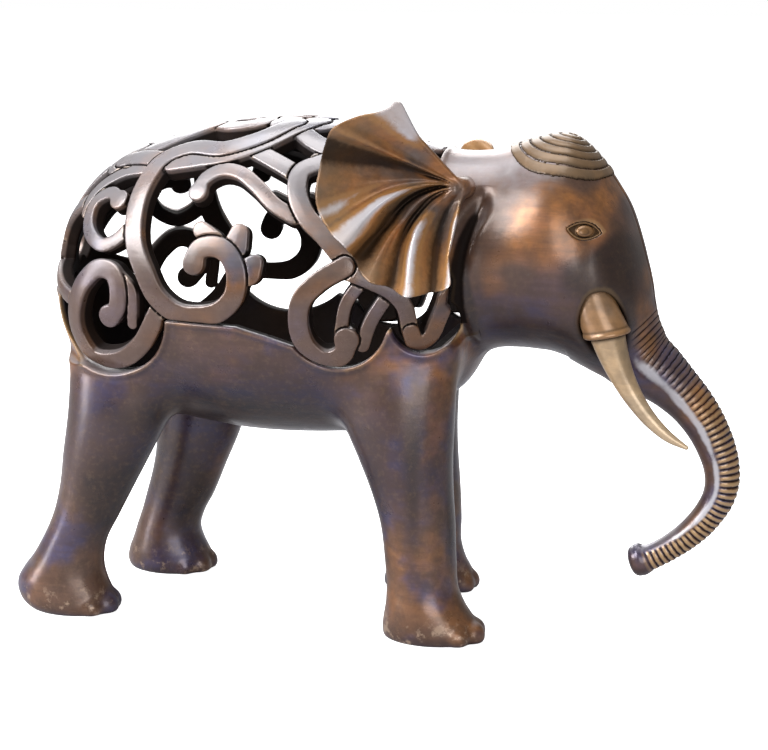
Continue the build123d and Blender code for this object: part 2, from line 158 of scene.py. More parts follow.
def ramp(value, start, width):
    """0 up to the start, rising to 1 over the width; a negative width falls instead."""
    return np.clip((value - start) / width, 0, 1)


def bell(value, middle, width):
    """1 at the middle, fading to both sides."""
    return np.exp(-((value - middle) / width)**2)


def ellipsoid(v, centre, radii):
    x, y, z = v.x - centre[0], v.y - centre[1], v.z - centre[2]
    k0 = np.sqrt((x / radii[0])**2 + (y / radii[1])**2 + (z / radii[2])**2)
    k1 = np.sqrt((x / radii[0]**2)**2 + (y / radii[1]**2)**2 + (z / radii[2]**2)**2)
    return k0 * (k0 - 1) / np.maximum(k1, 1e-4)


TUBE_REACH = 6.0        # how far outside a rod its distance is worked out


def tube(v, stations, spacing=0.8):
    """Distance to a round rod through stations of x, y, z, radius."""
    field = v.full()
    for px, py, pz, radius in path_through(stations, spacing):
        far = radius + TUBE_REACH
        cut, part = v.window((px - far, py - far, pz - far), (px + far, py + far, pz + far))
        away = np.sqrt((part.x - px)**2 + (part.y - py)**2 + (part.z - pz)**2) - radius
        np.minimum(field[cut], away, out=field[cut])
    return field


LEAST_SLOPE = 0.012     # a field is nowhere divided by less


def as_distance(v, field):
    """Field divided by its own slope, so that it measures distance near its zero surface."""
    gx, gy, gz = np.gradient(field, v.step)
    slope = np.sqrt(gx * gx + gy * gy + gz * gz)
    return np.clip(field / np.maximum(slope, LEAST_SLOPE), -FAR, FAR)


def across(*columns):
    """Values along x, ready to combine with a whole field."""
    return [np.float32(column)[:, None, None] for column in columns]


def corners_on(side, low, high):
    """Two corners of a box whose y count outwards from the middle, on the given side."""
    low_y, high_y = (low[1], high[1]) if side > 0 else (-high[1], -low[1])
    return (low[0], low_y, low[2]), (high[0], high_y, high[2])


def sided(side, name):
    return ("left_" if side > 0 else "right_") + name


def on_side(stations, side):
    """Stations of x, y, z, radius, mirrored for the right."""
    return [(x, side * y, z, radius) for x, y, z, radius in stations]


# --- torso ---
# x, top z, bottom z, half width, all taken as if the ends did not round off
TORSO = np.array((
    (-153.0, 242, 62, 90), (-149, 242, 62, 88), (-138, 238, 64, 80), (-115, 231.5, 75, 69),
    (-95, 228.5, 82, 64.5), (-80, 228, 84, 62.4), (-60, 229, 84.5, 61.5), (-40, 229, 84.5, 61),
    (-20, 228, 85.5, 60), (0, 226, 88, 58), (20, 220, 99, 52), (36, 215.5, 113, 45.5),
    (50, 215, 127, 38), (66, 216, 136, 32),
), float)
RUMP_X = -153.0
RUMP_FROM = -50.0       # behind this the sections shrink towards the rump


def torso_at(x):
    """Middle height, half height, half width and closing factor of the torso at x."""
    top, bottom, half = curve_through(TORSO[:, 0], TORSO[:, 1:], np.ravel(x)).T
    closing = 1 - (np.minimum(np.ravel(x) - RUMP_FROM, 0) / (RUMP_X - RUMP_FROM))**2
    return (top + bottom) / 2, (top - bottom) / 2, half, closing


def torso_here(x):
    return [values[0] for values in torso_at(np.array([x]))]


def torso_field(v):
    middle, height, half, closing = across(*torso_at(v.axes[0]))
    return as_distance(v, (v.y / half)**2 + ((v.z - middle) / height)**2 - closing)


def on_torso(x, girth):
    """Point of the right flank at x and an angle round the girth (90 is the spine)."""
    middle, height, half, closing = torso_here(x)
    shrink = math.sqrt(max(closing, 0))
    turn = math.radians(girth)
    return x, -half * shrink * math.cos(turn), middle + height * shrink * math.sin(turn)


def on_rump(y, z):
    """Point of the rump's surface behind y and z, found by a few steps from a guess."""
    x = -150.0
    for _ in range(12):
        middle, height, half, _ = torso_here(x)
        closing = min((y / half)**2 + ((z - middle) / height)**2, 1)
        x = RUMP_FROM + (RUMP_X - RUMP_FROM) * math.sqrt(1 - closing)
    return x, y, z


# Seam between the lower torso and the pierced back, seen from the side: x, z. It runs
# forward along the rim up to the corner, and from there up the collar.
SEAM = ((-175, 154), (-147, 152), (-130, 141), (-84, 144.5), (-66, 144), (-52, 143.5),
        (-38, 139.5), (-26, 135.5), (6, 134), (16, 145.5), (38, 149), (40, 164), (29, 192),
        (29, 245))
SEAM_CORNER = 10
# x, z, radius of the round dips for the scrolls
SEAM_DISCS = ((-114, 146, 28.5), (-8, 148, 22), (29, 146, 13))
LEFT_DIP = (-60, 164, 34)       # on the left the rim dips further between them


def below_seam(v):
    """Distance from the seam in x and z: above 0 in the lower torso, below 0 in the back."""
    line = np.array(SEAM, float)
    x, z = v.axes[0][:, None], v.axes[2][None, :]
    away = np.full((v.count[0], v.count[2]), 1e3)
    for (ax, az), (bx, bz) in zip(line[:-1], line[1:]):
        length = (bx - ax)**2 + (bz - az)**2
        t = np.clip(((x - ax) * (bx - ax) + (z - az) * (bz - az)) / length, 0, 1)
        away = np.minimum(away, np.hypot(x - ax - t * (bx - ax), z - az - t * (bz - az)))
    low, high = line[:SEAM_CORNER + 1], line[SEAM_CORNER:]
    rim = np.interp(v.axes[0], low[:, 0], low[:, 1])[:, None]
    front = np.interp(v.axes[2], high[:, 1], high[:, 0])[None, :]
    away = np.where((z > rim) & (x < front), -away, away)
    for cx, cz, radius in SEAM_DISCS:
        away = np.minimum(away, np.hypot(x - cx, z - cz) - radius)
    return np.float32(away)[:, None, :]


# --- legs ---
# z, middle x, half length, half width
HIND_RIGHT = ((0, -141.0, 20.5, 14.5), (3, -142.6, 22.8, 15.8), (8, -145.0, 23.2, 16.2),
              (14, -146.4, 21.8, 16.2), (20, -145.6, 19.2, 15.4), (26, -143.4, 16.8, 14.6),
              (33, -140.6, 15.4, 14.2), (46, -134.2, 15.6, 14.6), (60, -128.6, 17.4, 15.8),
              (76, -123.2, 20.6, 17.6), (95, -117.0, 24.0, 18.6), (125, -112.0, 27.0, 16.0))
HIND_LEFT = ((0, -118.0, 21.0, 15.5), (3, -118.6, 21.8, 16.8), (9, -119.3, 20.6, 17.0),
             (15, -119.6, 18.0, 16.2), (21, -119.4, 16.2, 15.2), (30, -116.6, 15.8, 14.4),
             (38, -113.2, 16.8, 14.4), (54, -107.5, 18.0, 15.6), (72, -102.3, 20.6, 17.4),
             (95, -98.5, 24.0, 18.6), (125, -96.0, 26.0, 16.0))
FORE_RIGHT = ((0, 31.0, 21.8, 14.8), (3, 31.3, 22.6, 16.0), (9, 30.0, 21.0, 16.4),
              (15, 28.4, 18.4, 16.2), (22, 27.0, 16.5, 15.2), (36, 25.8, 16.2, 14.8),
              (54, 24.2, 17.0, 15.6), (68, 21.6, 18.6, 17.0), (82, 18.6, 21.2, 18.4),
              (98, 15.4, 25.0, 18.8), (115, 13.0, 28.0, 17.6), (140, 12.0, 28.0, 12.0))
# the left foreleg stands further back, its foot most of all
FORE_LEFT = tuple((z, x - 12.5 - 5.0 * max(0, 1 - z / 30), a, b) for z, x, a, b in FORE_RIGHT)
# sections, side, radius of the toes and how far they stand out
LEGS = ((HIND_RIGHT, -1, 5.0, 1.5), (HIND_LEFT, 1, 4.6, 1.5), (FORE_RIGHT, -1, 5.2, 2.6),
        (FORE_LEFT, 1, 4.6, 1.5))
FOOT_Y, HIP_Y = 36.0, 33.5
LEG_LID = 6.0           # a leg ends this far below its last section, inside the torso
TOE_ANGLES = (48, 12, -24, -56)          # from straight ahead, outer toe first
TOE_FILLET, SOLE_ROUND, HIP_FILLET = 2.2, 1.6, 9.0


def add_leg(v, field, sections, side, toe_size, toe_reach):
    """Blends one leg with its toes into the field."""
    sections = np.array(sections, float)
    top = sections[-1, 0]
    reach = sections[:, 2].max() + 14
    low_x, high_x = sections[:, 1].min() - reach, sections[:, 1].max() + reach
    cut, part = v.window(*corners_on(side, (low_x, FOOT_Y - 34, -2),
                                     (high_x, FOOT_Y + 30, top + 14)))
    middle, length, width = [np.float32(q)[None, None, :] for q in
                             curve_through(sections[:, 0], sections[:, 1:], part.axes[2]).T]
    centre = side * (FOOT_Y + (HIP_Y - FOOT_Y) * ramp(part.z, 0, top))
    leg = np.sqrt(((part.x - middle) / length)**2 + ((part.y - centre) / width)**2)
    leg = (leg - 1) * np.minimum(length, width)
    sole_x, sole_length, sole_width = sections[1, 1:]
    for degrees in TOE_ANGLES:
        turn = math.radians(degrees)
        radius = toe_size * (1 - 0.003 * abs(degrees))
        toe = ellipsoid(part, (sole_x + (sole_length + toe_reach - radius) * math.cos(turn),
                               side * (FOOT_Y + (sole_width + 1 - radius) * math.sin(turn)),
                               radius * 0.75),
                        (radius, radius, radius * 1.1))
        leg = blend_min(leg, toe, TOE_FILLET)
    lid = part.z - top + LEG_LID
    leg = np.where(lid > 0, np.maximum(leg, lid), leg)
    leg = blend_max(leg, -part.z, SOLE_ROUND)
    field[cut] = blend_min(field[cut], leg, HIP_FILLET)


# --- head and trunk ---
# x, top z, bottom z, half width, as if the face did not round off
HEAD = np.array((
    (30, 213, 128, 33), (42, 213.5, 129, 34.5), (50, 215, 130, 36), (62, 219.5, 129, 39),
    (71, 222.6, 128.5, 41), (80, 224.2, 127.5, 41.8), (86, 223.4, 125.5, 41.4),
    (93, 218.8, 122.5, 39.8), (100, 211.6, 120.4, 37), (106, 204.8, 119.5, 35.2),
    (112, 199, 118.5, 33.6), (118, 189, 117, 33), (123, 180, 112, 33),
), float)
HEAD_FROM = 34.0        # the head's block starts here, inside the neck
FACE_X = 123.0
FACE_FROM = 100.0       # before this the sections shrink towards the face
# x, y, z, radius of the trunk along its middle line
TRUNK = (
    (97, 0, 150, 22.5), (105, 0, 139, 20.0), (112, 0, 131, 18.2), (118, 0, 125, 16.0),
    (126.1, 0, 119.4, 13.4), (133.8, 0, 112.9, 11.4), (140.2, 0, 106.6, 10.3),
    (145.4, 0, 100.0, 9.6), (149.6, 0, 93.0, 9.0), (152.8, 0, 86.0, 8.6), (155.0, 0, 78.6, 8.1),
    (155.6, 0, 71.0, 7.7), (154.2, 0, 63.8, 7.3), (151.0, 0, 57.4, 6.9), (146.5, 0, 51.0, 6.6),
    (141.0, 0, 45.2, 6.2), (134.9, 0, 40.2, 5.9), (128.0, 0, 35.6, 5.8), (122, 0, 32.6, 6.0),
    (119.4, 0, 31.6, 6.2),
)
RIDGE_STEP = 2.65       # trunk ridges, along its length
RIDGE_FROM = 17.0
TIP_END = 4.2           # the flat end lies this far past the last station


def head_field(v):
    top, bottom, half = curve_through(HEAD[:, 0], HEAD[:, 1:], v.axes[0]).T
    closing = 1 - (np.maximum(v.axes[0] - FACE_FROM, 0) / (FACE_X - FACE_FROM))**2
    middle, height, half, closing = across((top + bottom) / 2, (top - bottom) / 2, half,
                                           closing)
    up = (v.z - middle) / height
    # the head narrows a little towards the crown and the jaw
    half = half * (1 - 0.06 * np.clip(up, 0, 1)**2 - 0.05 * np.clip(-up, 0, 1)**2)
    field = as_distance(v, (v.y / half)**2 + up**2 - closing)
    return np.maximum(field, HEAD_FROM - v.x)


def nearest_on(line, v):
    """The box's x and z, the line's nearest point to each, and its squared distance."""
    x = v.axes[0][:, None].repeat(v.count[2], 1).ravel()
    z = v.axes[2][None, :].repeat(v.count[0], 0).ravel()
    best = np.full(x.size, 1e9, np.float32)
    which = np.zeros(x.size, np.int32)
    for i in range(len(line)):
        away = (x - line[i, 0])**2 + (z - line[i, 2])**2
        closer = away < best
        best[closer] = away[closer]
        which[closer] = i
    return x, z, which, best


def trunk_field(v):
    """Trunk with its ridges: distance, way along it, ridge strength and painted highlight."""
    line = path_through(TRUNK, 0.35)
    along = lengths(line)
    total = along[-1]
    heading = np.gradient(line[:, [0, 2]], axis=0)
    heading /= np.linalg.norm(heading, axis=1)[:, None]
    x, z, which, best = nearest_on(line, v)

    def sheet(values):
        return np.float32(values).reshape(v.count[0], 1, v.count[2])

    away = np.sqrt(sheet(np.sqrt(best))**2 + v.y**2)
    radius, way = sheet(line[which, 3]), sheet(along[which])
    # 1 on the outside of the bend, which is the elephant's front, and -1 on the inside
    front = ((z - line[which, 2]) * heading[which, 0]
             - (x - line[which, 0]) * heading[which, 1])
    facing = sheet(front) / np.maximum(away, 1.0)
    # ridges reach further round the trunk towards its tip
    reach = np.interp(way, (10, 60, 105, 135, total), (0.35, 0.0, -0.15, -0.45, -0.85))
    strength = ramp(facing, reach, 0.22) * ramp(way, RIDGE_FROM, 3) * ramp(way, total - 3, -3)
    wave = np.abs(np.sin(np.pi * (way - RIDGE_FROM) / RIDGE_STEP))
    depth = np.interp(way, (20, 60, 100), (0.25, 0.4, 0.5))
    field = away - radius + strength * (depth * bell(wave, 0, 0.42) - 0.08 * wave)
    # the tip thickens to a lip round a nearly flat end
    field = field - bell(way, total - 1.5, 2.6) * (1.0 + np.clip(-facing, 0, 1)**2)
    end_x, _, end_z, _ = line[-1]
    past = (v.x - end_x) * heading[-1, 0] + (v.z - end_z) * heading[-1, 1]
    near_tip = np.hypot(v.x - end_x, v.z - end_z) < 16
    field = np.where(near_tip, blend_max(field, np.float32(past - TIP_END), 3.5), field)
    # beside the ridges the smooth inner side gets a painted highlight
    gleam = bell(facing, reach - 0.08, 0.20) * (facing < reach + 0.15)
    gleam = gleam * ramp(way, 22, 14) * ramp(way, 150, -30)
    return np.float32(field), way + 0 * v.y, np.float32(strength), np.float32(gleam)


# height and x of the crease between shoulder and cheek
CREASE = ((124, 49), (136, 44), (150, 42), (165, 42), (180, 44.5), (192, 49), (200, 52))
CREASE_DEPTH, CREASE_WIDTH = 3.6, 3.6
CHEST = (23, 0, 125), (20, 29, 20.5)     # middle and radii
CHEST_FILLET, NECK_FILLET = 9.0, 7.0
BLOCK_END_X = 62.0      # the torso's own block ends here, inside the head


def body_and_head(v):
    """The torso alone, and the carved block of torso, chest and head before it is divided."""
    torso = torso_field(v)
    field = np.maximum(torso, v.x - BLOCK_END_X)
    cut, part = v.window((-5, -45, 96), (50, 45, 150))
    field[cut] = blend_min(field[cut], ellipsoid(part, *CHEST), CHEST_FILLET)
    cut, part = v.window((24, -64, 96), (v.axes[0][-1], 64, 245))
    field[cut] = blend_min(field[cut], head_field(part), NECK_FILLET)
    heights, middles = np.array(CREASE, float).T
    middle = curve_through(heights, middles, part.axes[2])[None, None, :]
    fade = ramp(part.z, 122, 12) * ramp(part.z, 204, -14) * ramp(np.abs(part.y), 12, 10)
    field[cut] += np.float32(CREASE_DEPTH * bell(part.x, middle, CREASE_WIDTH) * fade)
    return torso, field


# --- meshes ---
EDGE_REACH = 1.3        # how far inwards the wear of an edge is read
HOLLOW_REACH = 2.6      # how far outwards a hollow is read
CREASE_REACH = 0.7
SKIN = 0.7              # in voxels: a point this near the whole block's surface lies on it
WHOLE_REACH = 8.0       # within this distance of that surface the whole block is read


def new_mesh(name, points, quads):
    """Smooth mesh from points in millimetres and four-cornered faces."""
    mesh = bpy.data.meshes.new(name)
    mesh.vertices.add(len(points))
    mesh.vertices.foreach_set("co", np.float32(points * MM).ravel())
    mesh.loops.add(quads.size)
    mesh.loops.foreach_set("vertex_index", np.ascontiguousarray(quads).ravel())
    mesh.polygons.add(len(quads))
    mesh.polygons.foreach_set("loop_start", np.arange(0, quads.size, 4, dtype=np.int32))
    mesh.polygons.foreach_set("use_smooth", np.ones(len(quads), bool))
    mesh.update(calc_edges=True)
    return mesh


def steepest(v, field, points):
    """Direction in which the field grows at each point."""
    moves = 0.8 * v.step * np.eye(3)
    slope = np.stack([v.sample(field, points + move) - v.sample(field, points - move)
                      for move in moves], 1)
    return slope / np.maximum(np.linalg.norm(slope, axis=1), 1e-6)[:, None]


def add_values(piece, label, values):
    values = np.float32(values)
    piece.data.attributes.new(label, "FLOAT", "POINT").data.foreach_set("value", values)


def points_of(piece):
    flat = np.empty(len(piece.data.vertices) * 3, np.float32)
    piece.data.vertices.foreach_get("co", flat)
    return flat.reshape(-1, 3) / MM


def mesh_from(name, v, field, whole=None):
    """Mesh object of a field's zero surface with wear, hollow and crease attributes.

    Where the piece was cut from a whole block, shading follows the whole block's surface,
    so a tight joint doesn't show as an edge.
    """
    band = 3 * v.step
    grid = openvdb.FloatGrid(band)
    grid.copyFromArray(np.clip(field, -band, band).astype(np.float32))
    points, quads = grid.convertToQuads(0.0)
    points = np.asarray(points, np.float64) * v.step + v.low
    quads = np.asarray(quads, np.int32)
    corner = points[quads]
    normal = np.cross(corner[:, 2] - corner[:, 0], corner[:, 3] - corner[:, 1])
    if np.einsum("ij,ij->i", normal, corner.mean(1) - v.low).sum() < 0:
        quads = quads[:, ::-1]
    mesh = new_mesh(name, points, quads)
    normals = np.empty(len(points) * 3, np.float32)
    mesh.vertex_normals.foreach_get("vector", normals)
    normals = normals.reshape(-1, 3)
    if whole is not None:
        skin = np.abs(v.sample(whole, points)) < SKIN * v.step
        normals = np.where(skin[:, None], steepest(v, whole, points), normals)
        mesh.normals_split_custom_set_from_vertices(normals)
        field = np.where(np.abs(whole) < WHOLE_REACH, whole, field)
    piece = bpy.data.objects.new(name, mesh)
    bpy.context.scene.collection.objects.link(piece)
    within = v.sample(field, points - normals * EDGE_REACH)
    beyond = v.sample(field, points + normals * HOLLOW_REACH)
    near = v.sample(field, points + normals * CREASE_REACH)
    add_values(piece, "wear", np.clip(1 + within / EDGE_REACH, 0, 1))
    # hollow and crease read how closely other surfaces stand outside: dirt and painted shade
    add_values(piece, "hollow", np.clip(1 - beyond / HOLLOW_REACH, 0, 1))
    add_values(piece, "crease", np.clip(1 - near / CREASE_REACH, 0, 1))
    return piece


# Rubbed and darkened places of the finish, some of them painted light and shade: x, z, reach
# in x and z, strength (orange above 0)
PATINA_AND_PAINTED_LIGHT = (
    (88, 201, 12, 10, 1.1), (72, 186, 13, 14, 1.3), (70, 168, 13, 8, 1.0), (54, 168, 9, 12, 1.2),
    (103, 200, 5, 16, 0.9), (119, 194, 6, 14, 1.5), (62, 158, 10, 8, 1.0),
    (111, 176, 9, 12, -1.3), (98, 168, 14, 11, -1.1), (99, 210, 8, 5, -0.8),
    (70, 140, 18, 8, -0.7), (95, 134, 14, 12, -1.1), (80, 192, 5, 5, -0.4),
    # painted shadow in the crease behind the cheek: the first place of the next line
    (46, 158, 5, 26, -1.6), (112, 150, 7, 14, -1.2), (84, 184, 6, 8, 0.8),
    # painted light and shade down the foreleg's front: the first three places of the next line
    (34, 70, 4, 40, 1.0), (26, 78, 4.5, 42, -0.8), (41, 70, 3, 36, -1.3), (20, 20, 14, 10, 0.4),
    (-149, 100, 8, 30, 1.2), (-140, 128, 12, 12, 1.0), (-8, 118, 16, 12, 0.6),
    (-120, 60, 18, 24, -0.9), (8, 70, 9, 26, -0.6), (-60, 98, 60, 12, -1.1),
    (-146, 20, 14, 12, 0.2), (38, 128, 10, 16, 0.7), (-104, 40, 16, 30, -0.8),
)


def shade(piece, v, dark):
    """Darkens the piece where the field of dark is above 0: cut lines, joints, and painted shade
    round the tusk collar.
    """
    add_values(piece, "groove", v.sample(np.float32(dark), points_of(piece)))


def paint_patina_and_light(piece):
    points = points_of(piece)
    tint = np.zeros(len(points))
    for x, z, reach_x, reach_z, strength in PATINA_AND_PAINTED_LIGHT:
        away = ((points[:, 0] - x) / reach_x)**2 + ((points[:, 2] - z) / reach_z)**2
        tint += strength * np.exp(-away)
    add_values(piece, "tint", tint)


def depth_in_shell(v, torso, points):
    """0 on the torso's outer surface, 1 on the inner one."""
    return np.clip(-v.sample(torso, points) / SHELL, -0.3, 1.2)


# --- piece: body ---
SEAM_LIP = 0.7          # raised lip along the seam
LIP_ABOVE = 100.0       # not on the legs
NECK_ABOVE = 85.0       # the neck's joint lies above this height, the forelegs' toes below it
# In front of this x and below this z the crease lies deep in the torso, but in full view, so
# it gets no painted shade of the torso's inside
OPEN_CREASE_X, OPEN_CREASE_Z = 35, 144


def make_body():
    v = voxel_box((-170, -63, -1.5), (61, 63, 219), BODY_VOXEL)
    torso, field = body_and_head(v)
    for leg in LEGS:
        add_leg(v, field, *leg)
    hollow = np.maximum(torso + SHELL, v.x - COLLAR_X)
    seam = below_seam(v)
    dip_x, dip_z, dip_radius = LEFT_DIP
    dip = np.hypot(v.x - dip_x, v.z - dip_z) - dip_radius
    seam = np.where(v.y > 0, np.minimum(seam, dip), seam)
    lip = bell(seam, 1.6, 1.5) * ramp(v.x, 40, -6) * (v.z > LIP_ABOVE)
    field = blend_max(field - SEAM_LIP * lip, -hollow, 1.2)
    field = blend_max(field, -(seam - SEAM_GAP), 1.3)
    field = np.maximum(field, -v.z)
    past_neck = np.where(v.z > NECK_ABOVE, v.x - NECK_X - JOINT_LAP, -FAR)
    piece = mesh_from("body_carved", v, np.maximum(field, past_neck), field)
    points = points_of(piece)
    crease = (points[:, 0] > OPEN_CREASE_X) & (points[:, 2] < OPEN_CREASE_Z)
    add_values(piece, "depth", np.where(crease, 0, depth_in_shell(v, torso, points)))
    paint_patina_and_light(piece)
    return piece


# --- piece: pierced back ---
# Strands: height over the torso, width, width at the end, points as x and girth angle.
# Later ones lie on top.
STRANDS = (
    (0.2, 7.0, 8.0, ((-130, 44), (-129, 54), (-115, 58), (-98, 55))),
    (-0.3, 7.0, 7.0, ((-3, 15), (12, 17), (31, 12))),
    (0.0, 9.5, 9.5, ((-20, 54), (0, 52), (16, 42), (31, 30))),
    (0.2, 9.5, 9.5, ((-37, 78), (-28, 67), (-14, 60), (4, 63))),
    (0.3, 10.5, 10.5, ((-112, 66), (-102, 72), (-90, 78), (-78, 86))),
    (0.4, 5.0, 5.0, ((-108, 9), (-101, 2), (-101, -12))),
    (0.4, 5.5, 5.5, ((5, 7), (-2, -1), (-5, -12))),
    (0.5, 6.0, 6.0, ((4, -18), (8, -9), (14, -1))),
    (0.5, 8.4, 8.4, ((-50, 57), (-30, 47))),
    (0.8, 6.8, 9.0, ((-27, 29), (-36, 33), (-45, 40), (-55, 46), (-63, 47), (-70, 43.5),
                     (-72, 38.5))),
    (0.6, 6.4, 9.5, ((-101, 30), (-108.5, 23.3), (-116, 21.5), (-124, 28), (-127, 38),
                     (-125, 46.5), (-117, 47), (-111.5, 41.5))),
    (0.7, 10.0, 10.5, ((-88, 55), (-76, 54.6), (-62, 55), (-48, 61), (-36, 73), (-28, 84))),
    (0.9, 9.5, 10.5, ((-93, 58), (-107, 65), (-116, 69))),
    (0.7, 8.7, 8.7, ((-18, 53), (-27, 47), (-27, 39), (-22, 30), (-12.5, 22.5), (-2, 13))),
    (0.8, 7.4, 7.6, ((-5, 11), (8, 6.5), (16, 2), (21, -4), (24, -18))),
    (0.9, 7.6, 8.5, ((24, -18), (26, -25), (31, -25.5), (35, -19), (39, -10))),
    (1.2, 9.0, 11.0, ((-3, 12), (-14.6, 6), (-22, -1), (-23.2, -10), (-20, -18), (-13, -22.5),
                      (-4, -19.5), (-2.5, -14.5))),
    (1.2, 8.8, 10.5, ((-88, -7), (-97.7, -20.5), (-111, -29.5), (-124.5, -31), (-131, -21.5),
                      (-131.5, -5), (-126, 6.5), (-117.6, 11.6), (-110, 9), (-107.2, 1),
                      (-109, -6.5), (-112.5, -8.8))),
    (1.3, 9.2, 10.2, ((-37, 78), (-49, 64), (-64, 58), (-82, 62), (-93, 58.5), (-99, 46.7),
                      (-101, 32.4), (-99.4, 20), (-94.2, 9), (-88.3, -0.5), (-79.4, -6.4),
                      (-68.3, -7.4), (-57.3, -4.8), (-51.5, 0.8), (-50.6, 7.8), (-54.6, 14.5),
                      (-62.6, 17.3), (-68.9, 15.6), (-70.5, 11.3))),
)
# Petals and knobs, under the strands: x and girth angle of both ends, widths there, height
LOBES = (
    (-62.8, 19.4, -68.1, 23.5, 10.0, 7.6, 0.7), (-51.6, 17.5, -50.4, 22.2, 11.0, 8.4, 0.7),
    (-45.8, 8.6, -42.8, 11.9, 12.0, 7.6, 0.7), (-18, 53, -17.5, 53, 10.4, 10.4, 0.9),
    (-40.5, 78, -40, 78, 17.0, 17.0, 0.4), (-118, 69, -117.5, 69, 16.0, 16.0, 0.4),
)
# Rings across the spine: x and outer radius
SPINE_RINGS = ((-122, 14.5), (-93, 16.5), (-62, 16.5), (-31, 16.5), (-1, 15.5), (21, 9.5))
RING_INSET = 4.0        # from a ring's outer radius to its middle line
RING_WIDTH, RING_HEIGHT = 9.6, -0.2
# The rump's own strands: width and y, z points; and the ring above them
RUMP_STRANDS = (
    (7.0, ((-13, 172), (-22, 187), (-34, 196))),
    (7.0, ((-12, 160), (-27, 156), (-46, 149))),
    (7.0, ((-6, 182), (-9, 192), (-13, 204))),
    (9.0, ((0, 158), (0, 150), (0, 138))),
)
RUMP_RING_Z, RUMP_RING_RADIUS, RUMP_RING_WIDTH = 168.0, 12.5, 7.0
HALF_TURN = [math.pi * i / 24 for i in range(25)]       # angles of half a ring


def spine_ring(x, radius):
    """Right half of a ring that lies across the spine."""
    ring = []
    for turn in HALF_TURN:
        px, py = x + radius * math.cos(turn), radius * math.sin(turn)
        _, _, half, closing = torso_here(px)
        reach = half * math.sqrt(max(closing, 0.01))
        ring.append(on_torso(px, math.degrees(math.acos(min(py / reach, 1)))))
    return ring


def strand_lines():
    """Every strand of the right half as height and points of x, y, z, width."""
    lines = []

    def strand(height, width, tip, points):
        widths = [width] * (len(points) - 1) + [tip]
        lines.append((height, [(*point, wide) for point, wide in zip(points, widths)]))

    for x, radius in SPINE_RINGS:
        strand(RING_HEIGHT, RING_WIDTH, RING_WIDTH, spine_ring(x, radius - RING_INSET))
    for x, girth, end_x, end_girth, width, tip, height in LOBES:
        strand(height, width, tip, [on_torso(x, girth), on_torso(end_x, end_girth)])
    for width, points in RUMP_STRANDS:
        fine = path_through([(y, z, 0.0) for y, z in points], 2.0)
        strand(0.3, width, width, [on_rump(y, z) for y, z, _ in fine])
    strand(0.6, RUMP_RING_WIDTH, RUMP_RING_WIDTH,
           [on_rump(-RUMP_RING_RADIUS * math.sin(turn),
                    RUMP_RING_Z + RUMP_RING_RADIUS * math.cos(turn)) for turn in HALF_TURN])
    for height, width, tip, points in STRANDS:
        fine = path_through([(x, girth, 0.0) for x, girth in points], 3.0)
        strand(height, width, tip, [on_torso(x, girth) for x, girth, _ in fine])
    return lines


REACH = 14.0            # how far from a strand its distance is worked out
EDGE_ROUND = 0.5        # rounding of the strands' upper edges
CROWN = 0.25            # how much higher a strand is along its middle
CHANNEL = 0.7           # gap cut beside a strand that lies over another
CHANNEL_DEPTH = 1.5


def beside_strand(v, depth, points):
    """Distance from a strand's side walls, which stand square to the torso's surface."""
    aside = np.full(v.count, FAR, np.float32)
    for px, py, pz, width in path_through(points, 0.8):
        inner, spot = v.window((px - REACH, py - REACH, pz - REACH),
                               (px + REACH, py + REACH, pz + REACH))
        away = (spot.x - px)**2 + (spot.y - py)**2 + (spot.z - pz)**2
        away = np.sqrt(np.maximum(away - np.minimum(depth[inner], 0)**2, 0)) - width / 2
        np.minimum(aside[inner], away, out=aside[inner])
    return aside


def mirrored(field):
    """Field of the right half with the left half added."""
    return np.concatenate([field, field[:, -2::-1]], axis=1)


def make_pierced_back():
    # only the right half is worked out; the left half is its mirror image
    v = voxel_box((-162, -66, 113), (44, 0.0, 234), BACK_VOXEL)
    x, y, z = v.axes
    y = y - y[-1]
    v = Voxels([x, y, z], v.step)
    torso = torso_field(v)
    field = v.full()
    for height, points in strand_lines():
        points = np.array(points)
        cut, part = v.window(points[:, :3].min(0) - REACH, points[:, :3].max(0) + REACH)
        depth = torso[cut]
        aside = beside_strand(part, depth, points)
        crown = CROWN * np.clip(-aside / 4, 0, 1)
        strand = blend_max(aside, depth - height - crown, EDGE_ROUND)
        strand = blend_max(strand, -(depth + SHELL), 1.2)
        channel = np.maximum(aside - CHANNEL, -(depth + CHANNEL_DEPTH - height))
        field[cut] = np.minimum(np.maximum(field[cut], -channel), strand)
    field = mirrored(blend_max(field, below_seam(v) + SEAM_GAP, 1.0))
    v = Voxels([x, np.concatenate([y, -y[-2::-1]]), z], v.step)
    piece = mesh_from("pierced_back_carved", v, field)
    add_values(piece, "depth", depth_in_shell(v, mirrored(torso), points_of(piece)))
    return piece


# --- piece: head ---
EYE = (96.3, 35.2, 187.0)
EYE_TILT = math.radians(-11)
EYE_LENGTH, EYE_HEIGHT = 7.4, 3.8       # half sizes of the almond
BALL_LENGTH, BALL_HEIGHT = 3.5, 2.5
POCKET = 3.0            # depth of the eye's pocket
# Tusk collar and tusk of the left side: x, y, z, radius
COLLAR = ((100.0, 27.4, 156.8, 8.5), (103.0, 28.4, 149, 9.3), (106.8, 29.4, 141, 9.7))
COLLAR_PAST = (109.5, 29.9, 133)        # the collar's line runs on to here, then it is cut
TUSK = ((106.6, 29.4, 141.5, 7.6), (109.5, 29.8, 133, 6.5), (114.2, 30.4, 122.5, 5.1),
        (120.0, 31.2, 113.2, 4.1), (127.3, 32.2, 104.6, 3.2), (135, 33.2, 98.4, 2.3),
        (142.5, 34.2, 94.6, 1.0))
TUSK_WAY = np.array((5.5, 1.0, -26.5)) / 27.08      # direction of the tusk where it leaves
COLLAR_END = (106.8, 29.4, 141.0)
SOCKET_DEPTH = 2.0      # of the tusk in its collar
PITS = ((57.5, 36.0, 199.5), (58.5, 37.2, 195.0))   # little knife marks by the ear


